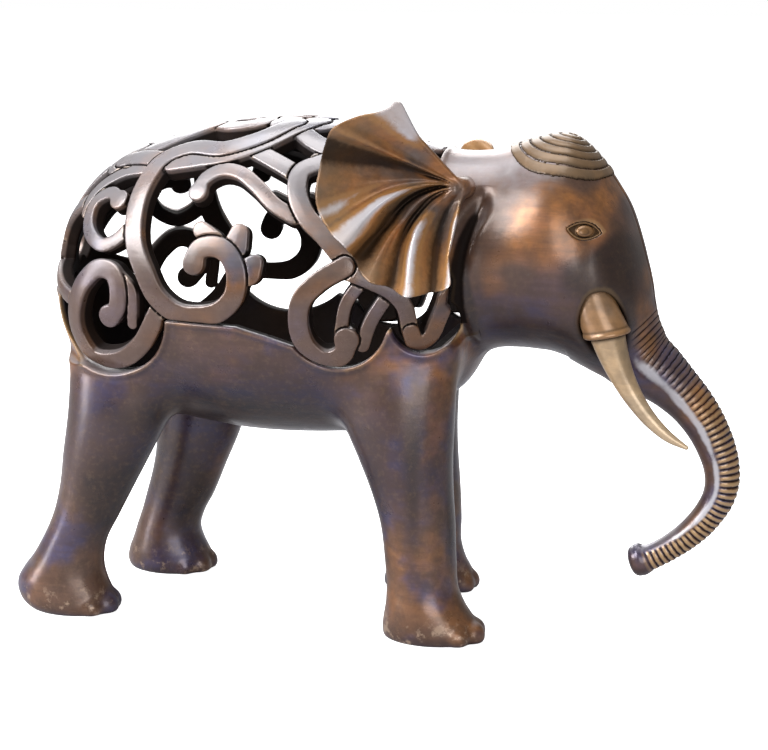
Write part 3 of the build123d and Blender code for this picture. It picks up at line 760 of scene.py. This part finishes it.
def eye_shape(v):
    """Measures that are 1 on the almond's outline and on the eyeball's, and less inside."""
    x, z = v.x - EYE[0], v.z - EYE[2]
    u = x * math.cos(EYE_TILT) + z * math.sin(EYE_TILT)
    w = z * math.cos(EYE_TILT) - x * math.sin(EYE_TILT)
    almond = (u / EYE_LENGTH)**2 + np.sqrt(w * w + 0.1) / EYE_HEIGHT + 0 * v.y
    ball = np.sqrt(((u - 0.2) / BALL_LENGTH)**2 + (w / BALL_HEIGHT)**2) + 0 * v.y
    return np.float32(almond), np.float32(ball)


def past_collar(v, side):
    """Distance beyond the flat lower end of the tusk collar."""
    x, y, z = COLLAR_END
    return ((v.x - x) * TUSK_WAY[0] + (v.y - side * y) * side * TUSK_WAY[1]
            + (v.z - z) * TUSK_WAY[2])


def collar_stations(side, end_radius):
    return on_side(COLLAR + ((*COLLAR_PAST, end_radius),), side)


def carve_side(v, field, groove, side):
    """Cuts the eye's pocket, the collar's seat and the knife marks into one side, and paints
    shade round the collar.
    """
    near, part = v.window(*corners_on(side, (70, 15, 160), (118, 44, 210)))
    almond, _ = eye_shape(part)
    field[near] = np.maximum(field[near], -np.maximum((almond - 1) * 3.0, -field[near] - POCKET))
    near, part = v.window(*corners_on(side, (84, 10, 118), (125, 44, 178)))
    collar = tube(part, collar_stations(side, 10.2), 0.6)
    field[near] = blend_max(field[near], -(collar - 0.25), 2.0)
    # painted shadow round the tusk collar
    groove[near] = np.maximum(groove[near], np.clip(1.05 - collar / 3.2, 0, 1))
    for x, y, z in PITS:
        near, part = v.window((x - 4, side * y - 5, z - 4), (x + 4, side * y + 5, z + 4))
        pit = ellipsoid(part, (x, side * y, z), (0.8, 3, 0.8))
        field[near] = blend_max(field[near], -pit, 0.8)


def make_head():
    v = voxel_box((NECK_X - 1.5, -44, 22), (167, 44, 229), HEAD_VOXEL)
    _, field = body_and_head(v)
    low, part = v.window((88, -34, 20), (167, 34, 190))
    trunk, way, strength, pale = trunk_field(part)
    root = ramp(way, 6, 26)
    field[low] = np.where(root < 1, blend_min(field[low], trunk, 9.0 - 6.0 * root),
                          np.minimum(field[low], trunk))
    ridges, ringed, gleam = v.full(0.0), v.full(0.0), v.full(0.0)
    ridges[low], ringed[low], gleam[low] = way, strength, pale
    groove = v.full(0.0)
    for side in (-1, 1):
        carve_side(v, field, groove, side)
    # cut line down the middle of the forehead
    line = np.float32(bell(v.y, 0, 0.8) * ramp(v.x, 98, 3) * ramp(v.z, 148, 3))
    field += 0.9 * line
    groove = np.maximum(groove, line)
    piece = mesh_from("head_carved", v, np.maximum(field, NECK_X - JOINT_LAP - v.x), field)
    points = points_of(piece)
    for label, values in (("ridge_way", ridges), ("ridge_strength", ringed), ("gleam", gleam)):
        add_values(piece, label, v.sample(values, points))
    shade(piece, v, groove)
    paint_patina_and_light(piece)
    return piece


# --- piece: crown cap ---
CAP_X, CAP_LENGTH, CAP_WIDTH = 81.0, 22.8, 29.5
CAP_SHIFT = 5.0         # the inner rings move forward
CAP_RINGS = 6.4


def make_cap():
    v = voxel_box((CAP_X - 26, -33, 196), (CAP_X + 27, 33, 230), CAP_VOXEL)
    _, head = body_and_head(v)
    ring = np.sqrt(((v.x - CAP_X) / CAP_LENGTH)**2 + (v.y / CAP_WIDTH)**2) + 0 * v.z
    rim = (ring - 1) * CAP_LENGTH
    for _ in range(3):
        centre = CAP_X + CAP_SHIFT * (1 - ring)
        ring = np.sqrt(((v.x - centre) / CAP_LENGTH)**2 + (v.y / CAP_WIDTH)**2)
    level = np.float32((1 - ring) * CAP_RINGS)
    near_line = np.abs(level - np.round(level)) * (level > 0.5) + (level <= 0.5)
    groove = bell(near_line, 0, 0.12)
    rise = 0.55 + 0.07 * level + 0.12 * np.sin(math.pi * (level % 1.0)) - 0.5 * groove
    field = blend_max(head - rise, rim, 0.7)
    field = np.maximum(field, -(head - 0.02))
    piece = mesh_from("crown_cap_carved", v, field)
    shade(piece, v, np.maximum(groove, bell(rim, -0.1, 0.7) * (head < 0.5)))
    return piece


# --- pieces: tusks, collars, eyes, tail ---
def make_collar(side):
    v = voxel_box(*corners_on(side, (86, 16, 128), (121, 43, 170)), COLLAR_VOXEL)
    end = past_collar(v, side)
    field = tube(v, collar_stations(side, 10.0), 0.5) - 0.55 * bell(end, -1.2, 1.1)
    field = blend_max(field, end, 0.8)
    socket = tube(v, on_side(TUSK, side), 0.5) - JOINT_AIR
    field = np.maximum(field, -np.maximum(socket, -(end + SOCKET_DEPTH)))
    piece = mesh_from(sided(side, "tusk_collar_carved"), v, field)
    shade(piece, v, 0.75 * bell(end, -3.1, 0.55))
    return piece


def make_tusk(side):
    v = voxel_box(*corners_on(side, (97, 20, 92), (146, 42, 147)), TUSK_VOXEL)
    end = past_collar(v, side)
    field = np.maximum(tube(v, on_side(TUSK, side), 0.4), -(end + SOCKET_DEPTH - 0.1))
    piece = mesh_from(sided(side, "tusk_carved"), v, field)
    shade(piece, v, np.clip(1.2 - end / 1.6, 0, 1))
    return piece


def make_eye(side):
    """Lid, dark ring and ball in one almond, following the side of the head."""
    v = voxel_box(*corners_on(side, (EYE[0] - 9, 27, EYE[2] - 6), (EYE[0] + 9, 41, EYE[2] + 6)),
                  EYE_VOXEL)
    _, head = body_and_head(v)
    almond, ball = eye_shape(v)
    lid = bell(almond, 0.88, 0.08)
    inside = ramp(almond, 0.78, -0.08)
    dome = np.clip(1 - ball**2, 0, 1)
    rise = 0.35 * lid - 0.1 - 0.75 * inside + inside * 1.9 * np.sqrt(dome + 1e-4)
    field = np.maximum(head - rise, (almond - 0.985) * 3.0)
    field = np.maximum(field, -(head + POCKET - 0.1))
    piece = mesh_from(sided(side, "eye_carved"), v, field)
    ring = 0.85 * ramp(ball, 1.0, 0.12) * (almond < 0.8)
    pupil = 0.55 * bell(ball, 0.52, 0.09)
    dark = np.maximum(np.maximum(ring, pupil), ramp(almond, 0.90, 0.05))
    shade(piece, v, np.maximum(dark, 0.45 * lid))
    return piece


# x, y, z, radius
TAIL = ((-154.5, 4, 150, 4.0), (-154.8, 9, 136, 3.8), (-151.8, 14, 120, 3.4),
        (-146.5, 17, 104, 3.2), (-143, 18, 90, 3.3), (-141, 18, 79, 4.4), (-141, 18, 70, 3.6),
        (-141.4, 18, 64.5, 1.2))
TUFT = (-141.3, 18, 84)         # its middle, and the height where it starts
TAIL_BANDS = 4.2        # from one band to the next


def make_tail():
    v = voxel_box((-163, -4, 61), (-132, 26, 157), TAIL_VOXEL)
    tuft_x, tuft_y, tuft_z = TUFT
    tuft = ramp(v.z, tuft_z, -8)
    hairs = np.arctan2(v.y - tuft_y, v.x - tuft_x) * 7 + v.z * 0.22
    field = tube(v, TAIL, 0.5) + 0.45 * tuft * (0.5 + 0.5 * np.cos(hairs))
    bands = np.abs(np.sin(np.pi * v.z / TAIL_BANDS))
    field = field + 0.25 * bell(bands, 0, 0.25) * (1 - tuft)
    return mesh_from("tail_carved", v, np.maximum(field, -(torso_field(v) - JOINT_AIR)))


# --- pieces: ears ---
EAR_ROOT = (46.0, 41.0, 205.0)
EAR_RISE = 0.62         # the fan leans out this much for each millimetre from the root
# rim angle and radius of each ear, from its upper tip to its lower front corner
RIGHT_RIM = ((114, 36), (120, 44.5), (126, 44.6), (132, 46), (141, 51), (150, 55.5), (160, 56.4),
             (170, 56), (182, 56), (190, 55), (199, 52), (206, 49), (213, 50.4), (222, 50.8),
             (235, 48), (246, 46.4), (256, 43.5), (264, 41), (270, 37.5), (275, 30))
LEFT_RIM = ((120, 9), (135, 15), (150, 20.0), (158, 22.4), (166, 23.6), (174, 26), (181, 33),
            (190, 43), (200, 49), (210, 51.5), (222, 52), (235, 51), (250, 49), (262, 45),
            (269, 40), (275, 33))
# angles of the fan's two straight edges at four distances from the root
RIGHT_EDGES = ((13, 28, 36, 45), (127, 126, 122, 118), (262, 263, 269, 274))
LEFT_EDGES = ((13, 28, 36, 45), (122, 122, 122, 122), (262, 263, 269, 274))
# pleats of the fan by rim angle: height, how far the line has turned at the root, the
# painted tone there, from painted shade (-1) over brown and gold (0.3) to painted highlight
# (1), and the share of the way out to the rim from where that tone is seen
PLEATS = ((110, 0.4, 8, 1.0, 0.55), (122, 1.0, 8, 1.0, 0.55), (130, 0.2, 7, 0.95, 0.5),
          (136, 0.1, 6, 0.45, 0.5), (143, 0.2, 5, -0.25, 0.4), (150, 2.0, 2, 0.3, 0.1),
          (156, -0.6, -2, -0.7, 0.1), (163, -2.0, -8, -1.0, 0.1), (172, -0.6, -16, 0.0, 0.4),
          (182, 1.0, -26, 0.1, 0.4), (189, 0.6, -34, 0.8, 0.7), (195, 1.0, -42, 0.1, 0.5),
          (202, 3.4, -50, 1.0, 0.38), (206, 4.2, -52, 1.1, 0.32), (209.5, 1.8, -50, 0.3, 0.2),
          (214, -3.8, -47, -1.0, 0.1), (221, -1.2, -54, -0.6, 0.2), (230, 1.8, -58, 0.0, 0.3),
          (237, -2.0, -60, -0.8, 0.1), (243, 1.2, -58, 0.3, 0.3), (248, 4.0, -55, 1.1, 0.34),
          (253, 1.5, -46, 0.2, 0.2), (258, -3.0, -34, -1.0, 0.1), (263, -0.6, -20, 0.0, 0.2),
          (268, 1.8, -12, 1.0, 0.2), (272, 2.2, -8, 0.2, 0.2), (280, 2.0, -6, 0.2, 0.2))
PLEAT_SIZE = 1.35
EAR_THICK = 3.0
# how an ear's angles map to those of the pleats: pleat angle, ear angle, stretch
RIGHT_STRETCH, LEFT_STRETCH = (0, 0, 1), (118, 150, 1.28)
LEFT_TONE = 0.3         # the left ear is nowhere paler than this
EAR_STEM = ((42.5, 26, 203, 5.0), (44, 35, 204, 4.4), (44.5, 41, 204.5, 3.6),
            (42, 45, 204.5, 2.4))


def pleats_at(source, share):
    """Height and painted tone of the pleats at the given angle and share of the way to the rim.
    """
    pleats = np.array(PLEATS, float)
    # follow each bent pleat outwards to its angle at the rim
    rim_angle = source
    for _ in range(14):
        turned = np.interp(rim_angle, pleats[:, 0], pleats[:, 2])
        rim_angle = 0.6 * rim_angle + 0.4 * (source - turned * (1 - share)**1.35)
    fine = np.linspace(pleats[0, 0], pleats[-1, 0], 400)
    height = np.interp(rim_angle, fine, curve_through(pleats[:, 0], pleats[:, 1], fine))
    height = PLEAT_SIZE * height * np.clip(share * 2.0, 0.1, 1)
    # the tone paints highlight above 0 and shade below 0; near the root it fades and darkens
    tone, start = [np.interp(rim_angle, pleats[:, 0], pleats[:, k]) for k in (3, 4)]
    tone = tone * np.clip((share - start) / 0.22 + 0.3, 0, 1) - 0.25 * ramp(share, 0.3, -0.3)
    return height, tone


def make_ear(side, rim, edges, stretch):
    """Fan on a cone round the ear's root, with the stem that joins it to the neck."""
    rim = np.array(rim, float)
    v = voxel_box(*corners_on(side, (-14, 24, 150), (58, 84, 250)), EAR_VOXEL)
    x, z = v.x - EAR_ROOT[0], v.z - EAR_ROOT[2]
    radius = np.sqrt(x * x + z * z)
    angle = np.degrees(np.arctan2(z, x)) % 360
    angle = np.where(angle < 60, angle + 360, angle)
    fine = np.linspace(rim[0, 0], rim[-1, 0], 200)
    outer = np.interp(angle, fine, curve_through(rim[:, 0], rim[:, 1], fine))
    share = np.clip(radius / outer, 0, 1)
    height, tone = pleats_at(stretch[0] + (angle - stretch[1]) * stretch[2], share)
    # the fan cups a little and its edge turns out
    sheet = (EAR_ROOT[1] + EAR_RISE * radius - 3.0 * np.sin(math.pi * share) + 1.6 * share**6
             + height)
    tilt_x, tilt_z = np.gradient(sheet[:, 0, :], v.step)
    tilt = np.sqrt(1 + tilt_x**2 + tilt_z**2)[:, None, :]
    thick = EAR_THICK * (1.45 - 0.75 * share)
    field = np.float32((np.abs(v.y * side - sheet) - thick / 2) / tilt)
    field = blend_max(field, np.float32(radius - outer), 1.2)
    first, last = [np.interp(radius, edges[0], angles) for angles in edges[1:]]
    past = np.maximum(first - angle, angle - last) * radius * math.pi / 180
    field = blend_max(field, np.float32(np.clip(past, -FAR, FAR)) + 0 * v.y, 0.8)
    field = blend_min(field, tube(v, on_side(EAR_STEM, side)), 4.0)
    _, neck = body_and_head(v)
    field = np.maximum(field, -(neck - JOINT_AIR))
    piece = mesh_from(sided(side, "ear_carved"), v, np.float32(field))
    # the left ear gets less painted highlight
    if side > 0:
        tone = np.minimum(tone, LEFT_TONE)
    add_values(piece, "tone", v.sample(np.float32(tone + 0 * v.y), points_of(piece)))
    return piece


# --- materials ---
class Value:
    """Output of a shader node that can be reckoned with like a number."""

    def __init__(self, nodes, socket):
        self.nodes, self.socket = nodes, socket

    def __add__(self, other):
        return self.nodes.math("ADD", self, other)

    def __sub__(self, other):
        return self.nodes.math("SUBTRACT", self, other)

    def __rsub__(self, other):
        return self.nodes.math("SUBTRACT", other, self)

    def __mul__(self, other):
        return self.nodes.math("MULTIPLY", self, other)

    def highest(self, other):
        return self.nodes.math("MAXIMUM", self, other)

    def clamped(self):
        """The same sum, held between 0 and 1."""
        self.socket.node.use_clamp = True
        return self

    def swing(self, size):
        """Noise moved to swing about zero."""
        return (self - 0.5) * size

    def spread(self, low, high, to_low=0.0, to_high=1.0):
        """Smooth step between two limits."""
        node = self.nodes.add("ShaderNodeMapRange", interpolation_type="SMOOTHSTEP")
        for target, value in zip(node.inputs, (self, low, high, to_low, to_high)):
            self.nodes.put(target, value)
        return Value(self.nodes, node.outputs[0])


class Nodes:
    """Nodes of a new material."""

    def __init__(self, name):
        self.material = bpy.data.materials.new(name)
        self.material.use_nodes = True
        self.tree = self.material.node_tree
        self.tree.nodes.clear()

    def add(self, kind, **settings):
        node = self.tree.nodes.new(kind)
        for key, value in settings.items():
            setattr(node, key, value)
        return node

    def output(self, kind, label, **settings):
        return Value(self, self.add(kind, **settings).outputs[label])

    def attribute(self, label):
        return self.output("ShaderNodeAttribute", "Fac", attribute_name=label)

    def put(self, target, value):
        if isinstance(value, Value):
            self.tree.links.new(value.socket, target)
        else:
            target.default_value = value

    def put_all(self, node, **values):
        """Sets inputs by their labels, with _ for a space."""
        for label, value in values.items():
            self.put(node.inputs[label.replace("_", " ")], value)

    def math(self, operation, a, b=0.0):
        node = self.add("ShaderNodeMath", operation=operation)
        self.put(node.inputs[0], a)
        self.put(node.inputs[1], b)
        return Value(self, node.outputs[0])

    def mix(self, share, a, b):
        node = self.add("ShaderNodeMix", data_type="RGBA")
        for place, value in ((0, share), (6, a), (7, b)):
            self.put(node.inputs[place], value)
        return Value(self, node.outputs[2])

    def parts(self, vector):
        """X, Y and Z of a vector."""
        node = self.add("ShaderNodeSeparateXYZ")
        self.put(node.inputs[0], vector)
        return [Value(self, socket) for socket in node.outputs]

    def noise(self, where, scale, detail, roughness=0.55, stretch=(1, 1, 1), shift=(0, 0, 0)):
        place = self.add("ShaderNodeMapping")
        self.put_all(place, Vector=where, Scale=stretch, Location=shift)
        node = self.add("ShaderNodeTexNoise")
        self.put_all(node, Vector=Value(self, place.outputs[0]), Scale=scale, Detail=detail,
                     Roughness=roughness)
        return Value(self, node.outputs["Fac"])

    def finish(self, shader):
        out = self.add("ShaderNodeOutputMaterial")
        self.tree.links.new(shader.outputs[0], out.inputs[0])
        return self.material


def rgb(red, green, blue):
    """Colour from 0-255 screen values."""
    def linear(value):
        value /= 255
        return value / 12.92 if value <= 0.04045 else ((value + 0.055) / 1.055)**2.4
    return (linear(red), linear(green), linear(blue), 1.0)


def darker(colour, share):
    return tuple(share * part for part in colour[:3]) + (1.0,)


WHITE = (1, 1, 1, 1)
DARK = rgb(18, 12, 10)              # dirt and painted shade in hollows, creases and cuts; painted shade inside the torso
PAINTED_SHEEN = rgb(202, 200, 206)          # painted highlight colour
BROWN = rgb(94, 68, 54)
ORANGE = rgb(150, 98, 52)
VIOLET = rgb(70, 62, 88)
GOLD = rgb(206, 168, 118)
GOLD_BROWN = rgb(172, 122, 66)
# violet of the belly, also used as painted shade on undersides
BELLY_VIOLET_AND_SHADE = rgb(42, 36, 58)
DARK_PATINA_AND_SHADE = rgb(28, 20, 19)            # darkened places of the patina, and painted shade
LOW_BROWN = rgb(98, 66, 44)         # lower strands of the pierced back
BARE = rgb(176, 150, 126)           # scuffs round the soles
METAL = 0.35
COAT = 0.45


def shared_inputs(n, seed):
    """Places in metres, directions and noises that the steps of one lacquer share."""
    where = n.output("ShaderNodeTexCoord", "Object")
    s = SimpleNamespace(where=where, shade=n.attribute("groove"))
    s.x, _, s.z = n.parts(where)
    s.facing_x, _, s.facing_z = n.parts(n.output("ShaderNodeNewGeometry", "Normal"))
    s.large = n.noise(where, 24, 2.0, 0.5, shift=(seed, 0, 0))
    s.other = n.noise(where, 30, 3.0, 0.6, shift=(0, seed + 3, 1))
    s.blotch = n.noise(where, 75, 4.0, 0.6, shift=(1, seed, 2))
    s.fine = n.noise(where, 420, 5.0, 0.65)
    s.grain = n.noise(where, 60, 6.0, 0.6, stretch=(0.35, 5.0, 5.0))
    return s


def patchy_coat(n, s, base, warm, cool, warm_at, cool_at, block):
    """Brown with orange patches, more of them where the surface looks forward as painted light,
    and violet.

    On the block of body and head, the patina, partly painted light and shade, and the height
    move the patches; undersides get violet painted shade.
    """
    # faces turned forward get more orange: painted light
    forward = s.facing_x.spread(0.25, 0.9) * 0.10
    if block:
        tint = n.attribute("tint") + s.blotch.swing(0.6)
        forward = forward + tint * 0.11
    warm_share = (s.large + forward).spread(warm_at - 0.06, warm_at + 0.12)
    cool_share = s.other.spread(cool_at - 0.06, cool_at + 0.12)
    if block:
        warm_share = warm_share * s.z.spread(0.03, 0.13, 0.5, 1.0)
        cool_share = cool_share * s.z.spread(0.140, 0.170, 1.0, 0.2)
    colour = n.mix(cool_share, n.mix(warm_share, base, warm), cool)
    if block:
        # violet belly, and violet painted shade on the undersides, but not on the head; then the
        # patina's dark places, some of them painted shade
        belly = s.z.spread(0.095, 0.135, 1.0, 0.0) * s.z.spread(0.050, 0.080)
        belly = belly * (1.0 - s.x.spread(0.030, 0.070))
        below = s.facing_z.spread(0.0, -0.7) * 0.7
        colour = n.mix((belly * 0.55 + below).clamped(), colour, BELLY_VIOLET_AND_SHADE)
        colour = n.mix(tint.spread(-0.15, -0.95) * 0.80, colour, DARK_PATINA_AND_SHADE)
    return colour


def add_painted_sheen(n, s, colour, painted_sheen, pierced):
    """Painted highlight on what looks up; on the pierced back it grows higher up, and the colour
    turns browner lower down.
    """
    starts, full, strength = painted_sheen
    upward = s.facing_z + s.facing_x * -0.25 + s.blotch.swing(0.5)
    pale = upward.spread(starts, full) * strength
    if pierced:
        high = s.z + s.large * 0.05
        # more painted highlight higher up on the pierced back
        pale = (pale + high.spread(0.190, 0.245, 0.0, 0.15)).clamped()
        colour = n.mix(high.spread(0.215, 0.165) * 0.45, colour, LOW_BROWN)
    return n.mix(pale, colour, PAINTED_SHEEN)


def ear_tones(n, s, colour):
    """Golden pleats, painted highlight on the pale ones, and painted shade on the dark ones,
    which joins the shade.
    """
    tone = n.attribute("tone") + s.blotch.swing(0.7) + s.fine.swing(0.35)
    # painted shade in the dark pleats, painted highlight on the pale ones
    s.shade = tone.spread(-0.10, -0.80) * 0.9
    colour = n.mix(tone.spread(0.05, 0.40) * 0.55, colour, GOLD_BROWN)
    return n.mix(tone.spread(0.45, 0.95) * 0.9, colour, PAINTED_SHEEN)


def trunk_tones(n, s, colour, rub):
    """Dark cuts and polished ridges of the trunk, and the band of painted highlight beside them.
    """
    way, ringed = n.attribute("ridge_way"), n.attribute("ridge_strength")
    turn = (way - RIDGE_FROM) * (math.pi / RIDGE_STEP)
    wave = n.math("ABSOLUTE", n.math("SINE", turn))
    s.shade = s.shade.highest(wave.spread(0.52, 0.18) * ringed * 0.95)
    polished = wave.spread(0.55, 0.9) * ringed * way.spread(40, 95, 0.15, 1.0)
    # painted highlight beside the ridges
    gleam = n.attribute("gleam") + s.blotch.swing(1.6)
    colour = n.mix(gleam.spread(0.30, 0.95) * 0.75, colour, PAINTED_SHEEN)
    return colour, (rub * 0.5).highest(polished * 0.62)


def dirt_and_shade_share(n, s, extra):
    """Share of dirt and painted shade in hollows, creases and cuts, and of painted shade on the
    inside of the torso.
    """
    hollow_from = 0.62 if extra in ("body", "head") else 0.34
    dirt_and_shade = n.attribute("hollow").spread(hollow_from, hollow_from + 0.6)
    dirt_and_shade = dirt_and_shade.highest(n.attribute("crease").spread(0.22, 0.8)).highest(s.shade)
    if extra in ("body", "pierced"):
        # painted shade on the torso's inside
        dirt_and_shade = dirt_and_shade.highest(n.attribute("depth").spread(0.14, 0.36))
    return dirt_and_shade


def lacquer_shader(n, s, colour, dirt_and_shade, rough):
    """Coated shader that turns rough and dull where there is dirt and painted shade."""
    bump = n.add("ShaderNodeBump")
    n.put_all(bump, Strength=0.22, Distance=0.0009,
              Height=s.grain * 0.5 + s.fine * 0.35 + s.blotch * 0.8)
    clean = 1.0 - dirt_and_shade
    shader = n.add("ShaderNodeBsdfPrincipled")
    n.put_all(shader, Base_Color=colour, Metallic=clean * METAL, Coat_Weight=clean * COAT,
              Coat_Roughness=0.24, Specular_IOR_Level=clean.spread(0.0, 1.0, 0.06, 0.5),
              Roughness=(s.blotch.swing(0.30) + rough + dirt_and_shade * 0.35).clamped(),
              Normal=Value(n, bump.outputs[0]))
    return shader


def lacquer(name, base, warm, cool, gold, warm_at=0.5, cool_at=0.6, gold_reach=0.5, rough=0.32,
            seed=0.0, extra="", painted_sheen=None):
    """Rubbed brown lacquer over carved wood.

    warm_at and cool_at say how rare the patches are, gold_reach how strong the rubbed edges.
    extra names the piece's own detail; the last argument gives the painted highlight on faces
    turned up: the upward slope where it starts, where it is full, and its strength.
    """
    n = Nodes(name)
    s = shared_inputs(n, seed)
    colour = patchy_coat(n, s, base, warm, cool, warm_at, cool_at, extra in ("body", "head"))
    colour = n.mix(s.blotch.spread(0.38, 0.66, 0.0, 0.55), colour, darker(base, 0.40))
    colour = n.mix(s.grain.spread(0.42, 0.60, 0.0, 0.30), colour, darker(base, 0.45))
    # painted highlight on faces turned up
    if painted_sheen:
        colour = add_painted_sheen(n, s, colour, painted_sheen, extra == "pierced")
    rub = (n.attribute("wear").spread(0.22, 0.85) + s.fine.swing(0.5)).clamped() * gold_reach
    if extra == "ear":
        colour = ear_tones(n, s, colour)
        rub = rub * 0.22
    if extra == "head":
        colour, rub = trunk_tones(n, s, colour, rub)
    dirt_and_shade = dirt_and_shade_share(n, s, extra)
    # dirt and painted shade go dark, rubbed edges gold
    colour = n.mix(dirt_and_shade * 0.96, n.mix(rub, colour, gold), DARK)
    if extra == "body":
        scuffed = s.z.spread(0.018, 0.006) * n.noise(s.where, 130, 4.0, 0.7).spread(0.54, 0.66)
        colour = n.mix(scuffed * 0.55, colour, BARE)
    return n.finish(lacquer_shader(n, s, colour, dirt_and_shade, rough))


# the last setting of the block's finish is its painted highlight on faces turned up
block_finish = dict(base=BROWN, warm=ORANGE, cool=VIOLET, gold=GOLD, warm_at=0.56,
                    cool_at=0.50, painted_sheen=(0.5, 1.1, 0.42))
body_skin = lacquer("lacquer_body", extra="body", **block_finish)
head_skin = lacquer("lacquer_head", extra="head", **block_finish)
back_skin = lacquer("lacquer_pierced", rgb(88, 77, 74), rgb(122, 84, 54), rgb(78, 77, 92),
                    rgb(188, 164, 136), cool_at=0.54, gold_reach=0.34, seed=4.0, rough=0.30,
                    extra="pierced", painted_sheen=(0.05, 1.05, 0.24))
ear_skin = lacquer("lacquer_ear", rgb(98, 66, 42), rgb(148, 94, 46), rgb(100, 84, 76), GOLD,
                   warm_at=0.46, cool_at=0.56, gold_reach=0.8, seed=2.0, extra="ear")
tusk_skin = lacquer("lacquer_tusk", rgb(182, 158, 128), rgb(186, 156, 120), rgb(150, 134, 116),
                    rgb(222, 202, 164), seed=5.0)
collar_skin = lacquer("lacquer_collar", rgb(142, 110, 80), rgb(156, 116, 76), rgb(126, 108, 92),
                      GOLD, gold_reach=0.35, seed=6.0)
cap_skin = lacquer("lacquer_cap", rgb(94, 70, 48), rgb(106, 78, 50), rgb(84, 70, 58), GOLD,
                   gold_reach=0.12, seed=8.0, rough=0.42)
eye_skin = lacquer("lacquer_eye", rgb(140, 102, 64), rgb(150, 108, 66), rgb(120, 92, 64), GOLD,
                   gold_reach=0.14, seed=9.0)


def dress(piece, material, node):
    piece.data.materials.clear()
    piece.data.materials.append(material)
    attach(piece, "root")
    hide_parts(node)


dress(make_body(), body_skin, "body")
dress(make_pierced_back(), back_skin, "pierced_back")
dress(make_head(), head_skin, "head")
dress(make_cap(), cap_skin, "crown_cap")
dress(make_ear(-1, RIGHT_RIM, RIGHT_EDGES, RIGHT_STRETCH), ear_skin, "right_ear")
dress(make_ear(1, LEFT_RIM, LEFT_EDGES, LEFT_STRETCH), ear_skin, "left_ear")
for side in (-1, 1):
    dress(make_collar(side), collar_skin, sided(side, "tusk_collar"))
    dress(make_tusk(side), tusk_skin, sided(side, "tusk"))
    dress(make_eye(side), eye_skin, sided(side, "eye"))
dress(make_tail(), body_skin, "tail")


# --- floor, light and camera ---
FLOOR_SIZE = 6.0        # metres from the middle to each edge


def link_new(name, data):
    """New object in the scene."""
    item = bpy.data.objects.new(name, data)
    bpy.context.scene.collection.objects.link(item)
    return item


def make_floor():
    """Pale floor that looks white to the camera and throws back only a little light."""
    mesh = bpy.data.meshes.new("floor")
    corners = [(-1, -1), (1, -1), (1, 1), (-1, 1)]
    mesh.from_pydata([(FLOOR_SIZE * x, FLOOR_SIZE * y, 0) for x, y in corners], [],
                     [(0, 1, 2, 3)])
    floor = link_new("floor", mesh)
    n = Nodes("pale_floor")
    soft = n.noise(n.output("ShaderNodeTexCoord", "Object"), 2.0, 2.0)
    colour = n.mix(soft.spread(0.3, 0.7), rgb(250, 250, 251), rgb(246, 246, 248))
    seen = n.output("ShaderNodeLightPath", "Is Camera Ray")
    shader = n.add("ShaderNodeBsdfPrincipled")
    n.put_all(shader, Roughness=0.75, Emission_Color=WHITE,
              Emission_Strength=seen.spread(0, 1, 0.0, 0.95),
              Base_Color=n.mix(seen, rgb(170, 170, 174), colour))
    floor.data.materials.append(n.finish(shader))


# name, place, point it looks at, width and height, watts
LIGHTS = (
    ("key", (-0.80, -0.75, 0.85), (0, 0, 0.12), (0.8, 0.8), 24),
    ("strip", (-1.15, -0.55, 0.25), (0, 0, 0.12), (0.25, 0.9), 8),
    ("top", (0.0, 0.1, 1.2), (0, 0, 0.1), (1.0, 0.8), 9),
    ("front", (0.60, -1.25, 0.45), (0.05, 0, 0.12), (0.9, 0.8), 9),
    ("back", (-0.3, 1.1, 0.7), (0, 0, 0.12), (0.9, 0.7), 7),
)
STRIP_COLOUR = (0.94, 0.94, 1.0)
WORLD_LIGHT = 0.24      # strength of the white world, apart from how it looks


def add_lights():
    for name, place, target, size, power in LIGHTS:
        data = bpy.data.lights.new(name, "AREA")
        data.shape = "RECTANGLE"
        data.size, data.size_y = size
        data.energy = power
        data.color = STRIP_COLOUR if name == "strip" else WHITE[:3]
        light = link_new(name, data)
        light.location = place
        way = Vector(target) - Vector(place)
        light.rotation_euler = way.to_track_quat("-Z", "Y").to_euler()


def make_world():
    """The backdrop looks white, and lights the object only a little."""
    world = bpy.data.worlds.new("studio")
    bpy.context.scene.world = world
    world.use_nodes = True
    tree = world.node_tree
    seen = tree.nodes.new("ShaderNodeLightPath").outputs["Is Camera Ray"]
    power = tree.nodes.new("ShaderNodeMapRange")
    power.inputs["To Min"].default_value = WORLD_LIGHT
    power.inputs["To Max"].default_value = 1.0
    tree.links.new(seen, power.inputs["Value"])
    tree.links.new(power.outputs[0], tree.nodes["Background"].inputs["Strength"])
    tree.nodes["Background"].inputs["Color"].default_value = WHITE


CAMERA_TURN, CAMERA_TILT = math.radians(14), math.radians(12.5)
CAMERA_TARGET = Vector((0, 0, 0.1117))
CAMERA_DISTANCE = 0.95
LENS = 96.8


def add_camera():
    back = Vector((math.sin(CAMERA_TURN) * math.cos(CAMERA_TILT),
                   -math.cos(CAMERA_TURN) * math.cos(CAMERA_TILT), math.sin(CAMERA_TILT)))
    data = bpy.data.cameras.new("camera")
    data.lens = LENS
    data.sensor_width = 36
    camera = link_new("camera", data)
    camera.location = CAMERA_TARGET + back * CAMERA_DISTANCE
    camera.rotation_euler = back.to_track_quat("Z", "Y").to_euler()
    bpy.context.scene.camera = camera


make_floor()
add_lights()
make_world()
add_camera()
bpy.context.scene.view_settings.view_transform = "Standard"
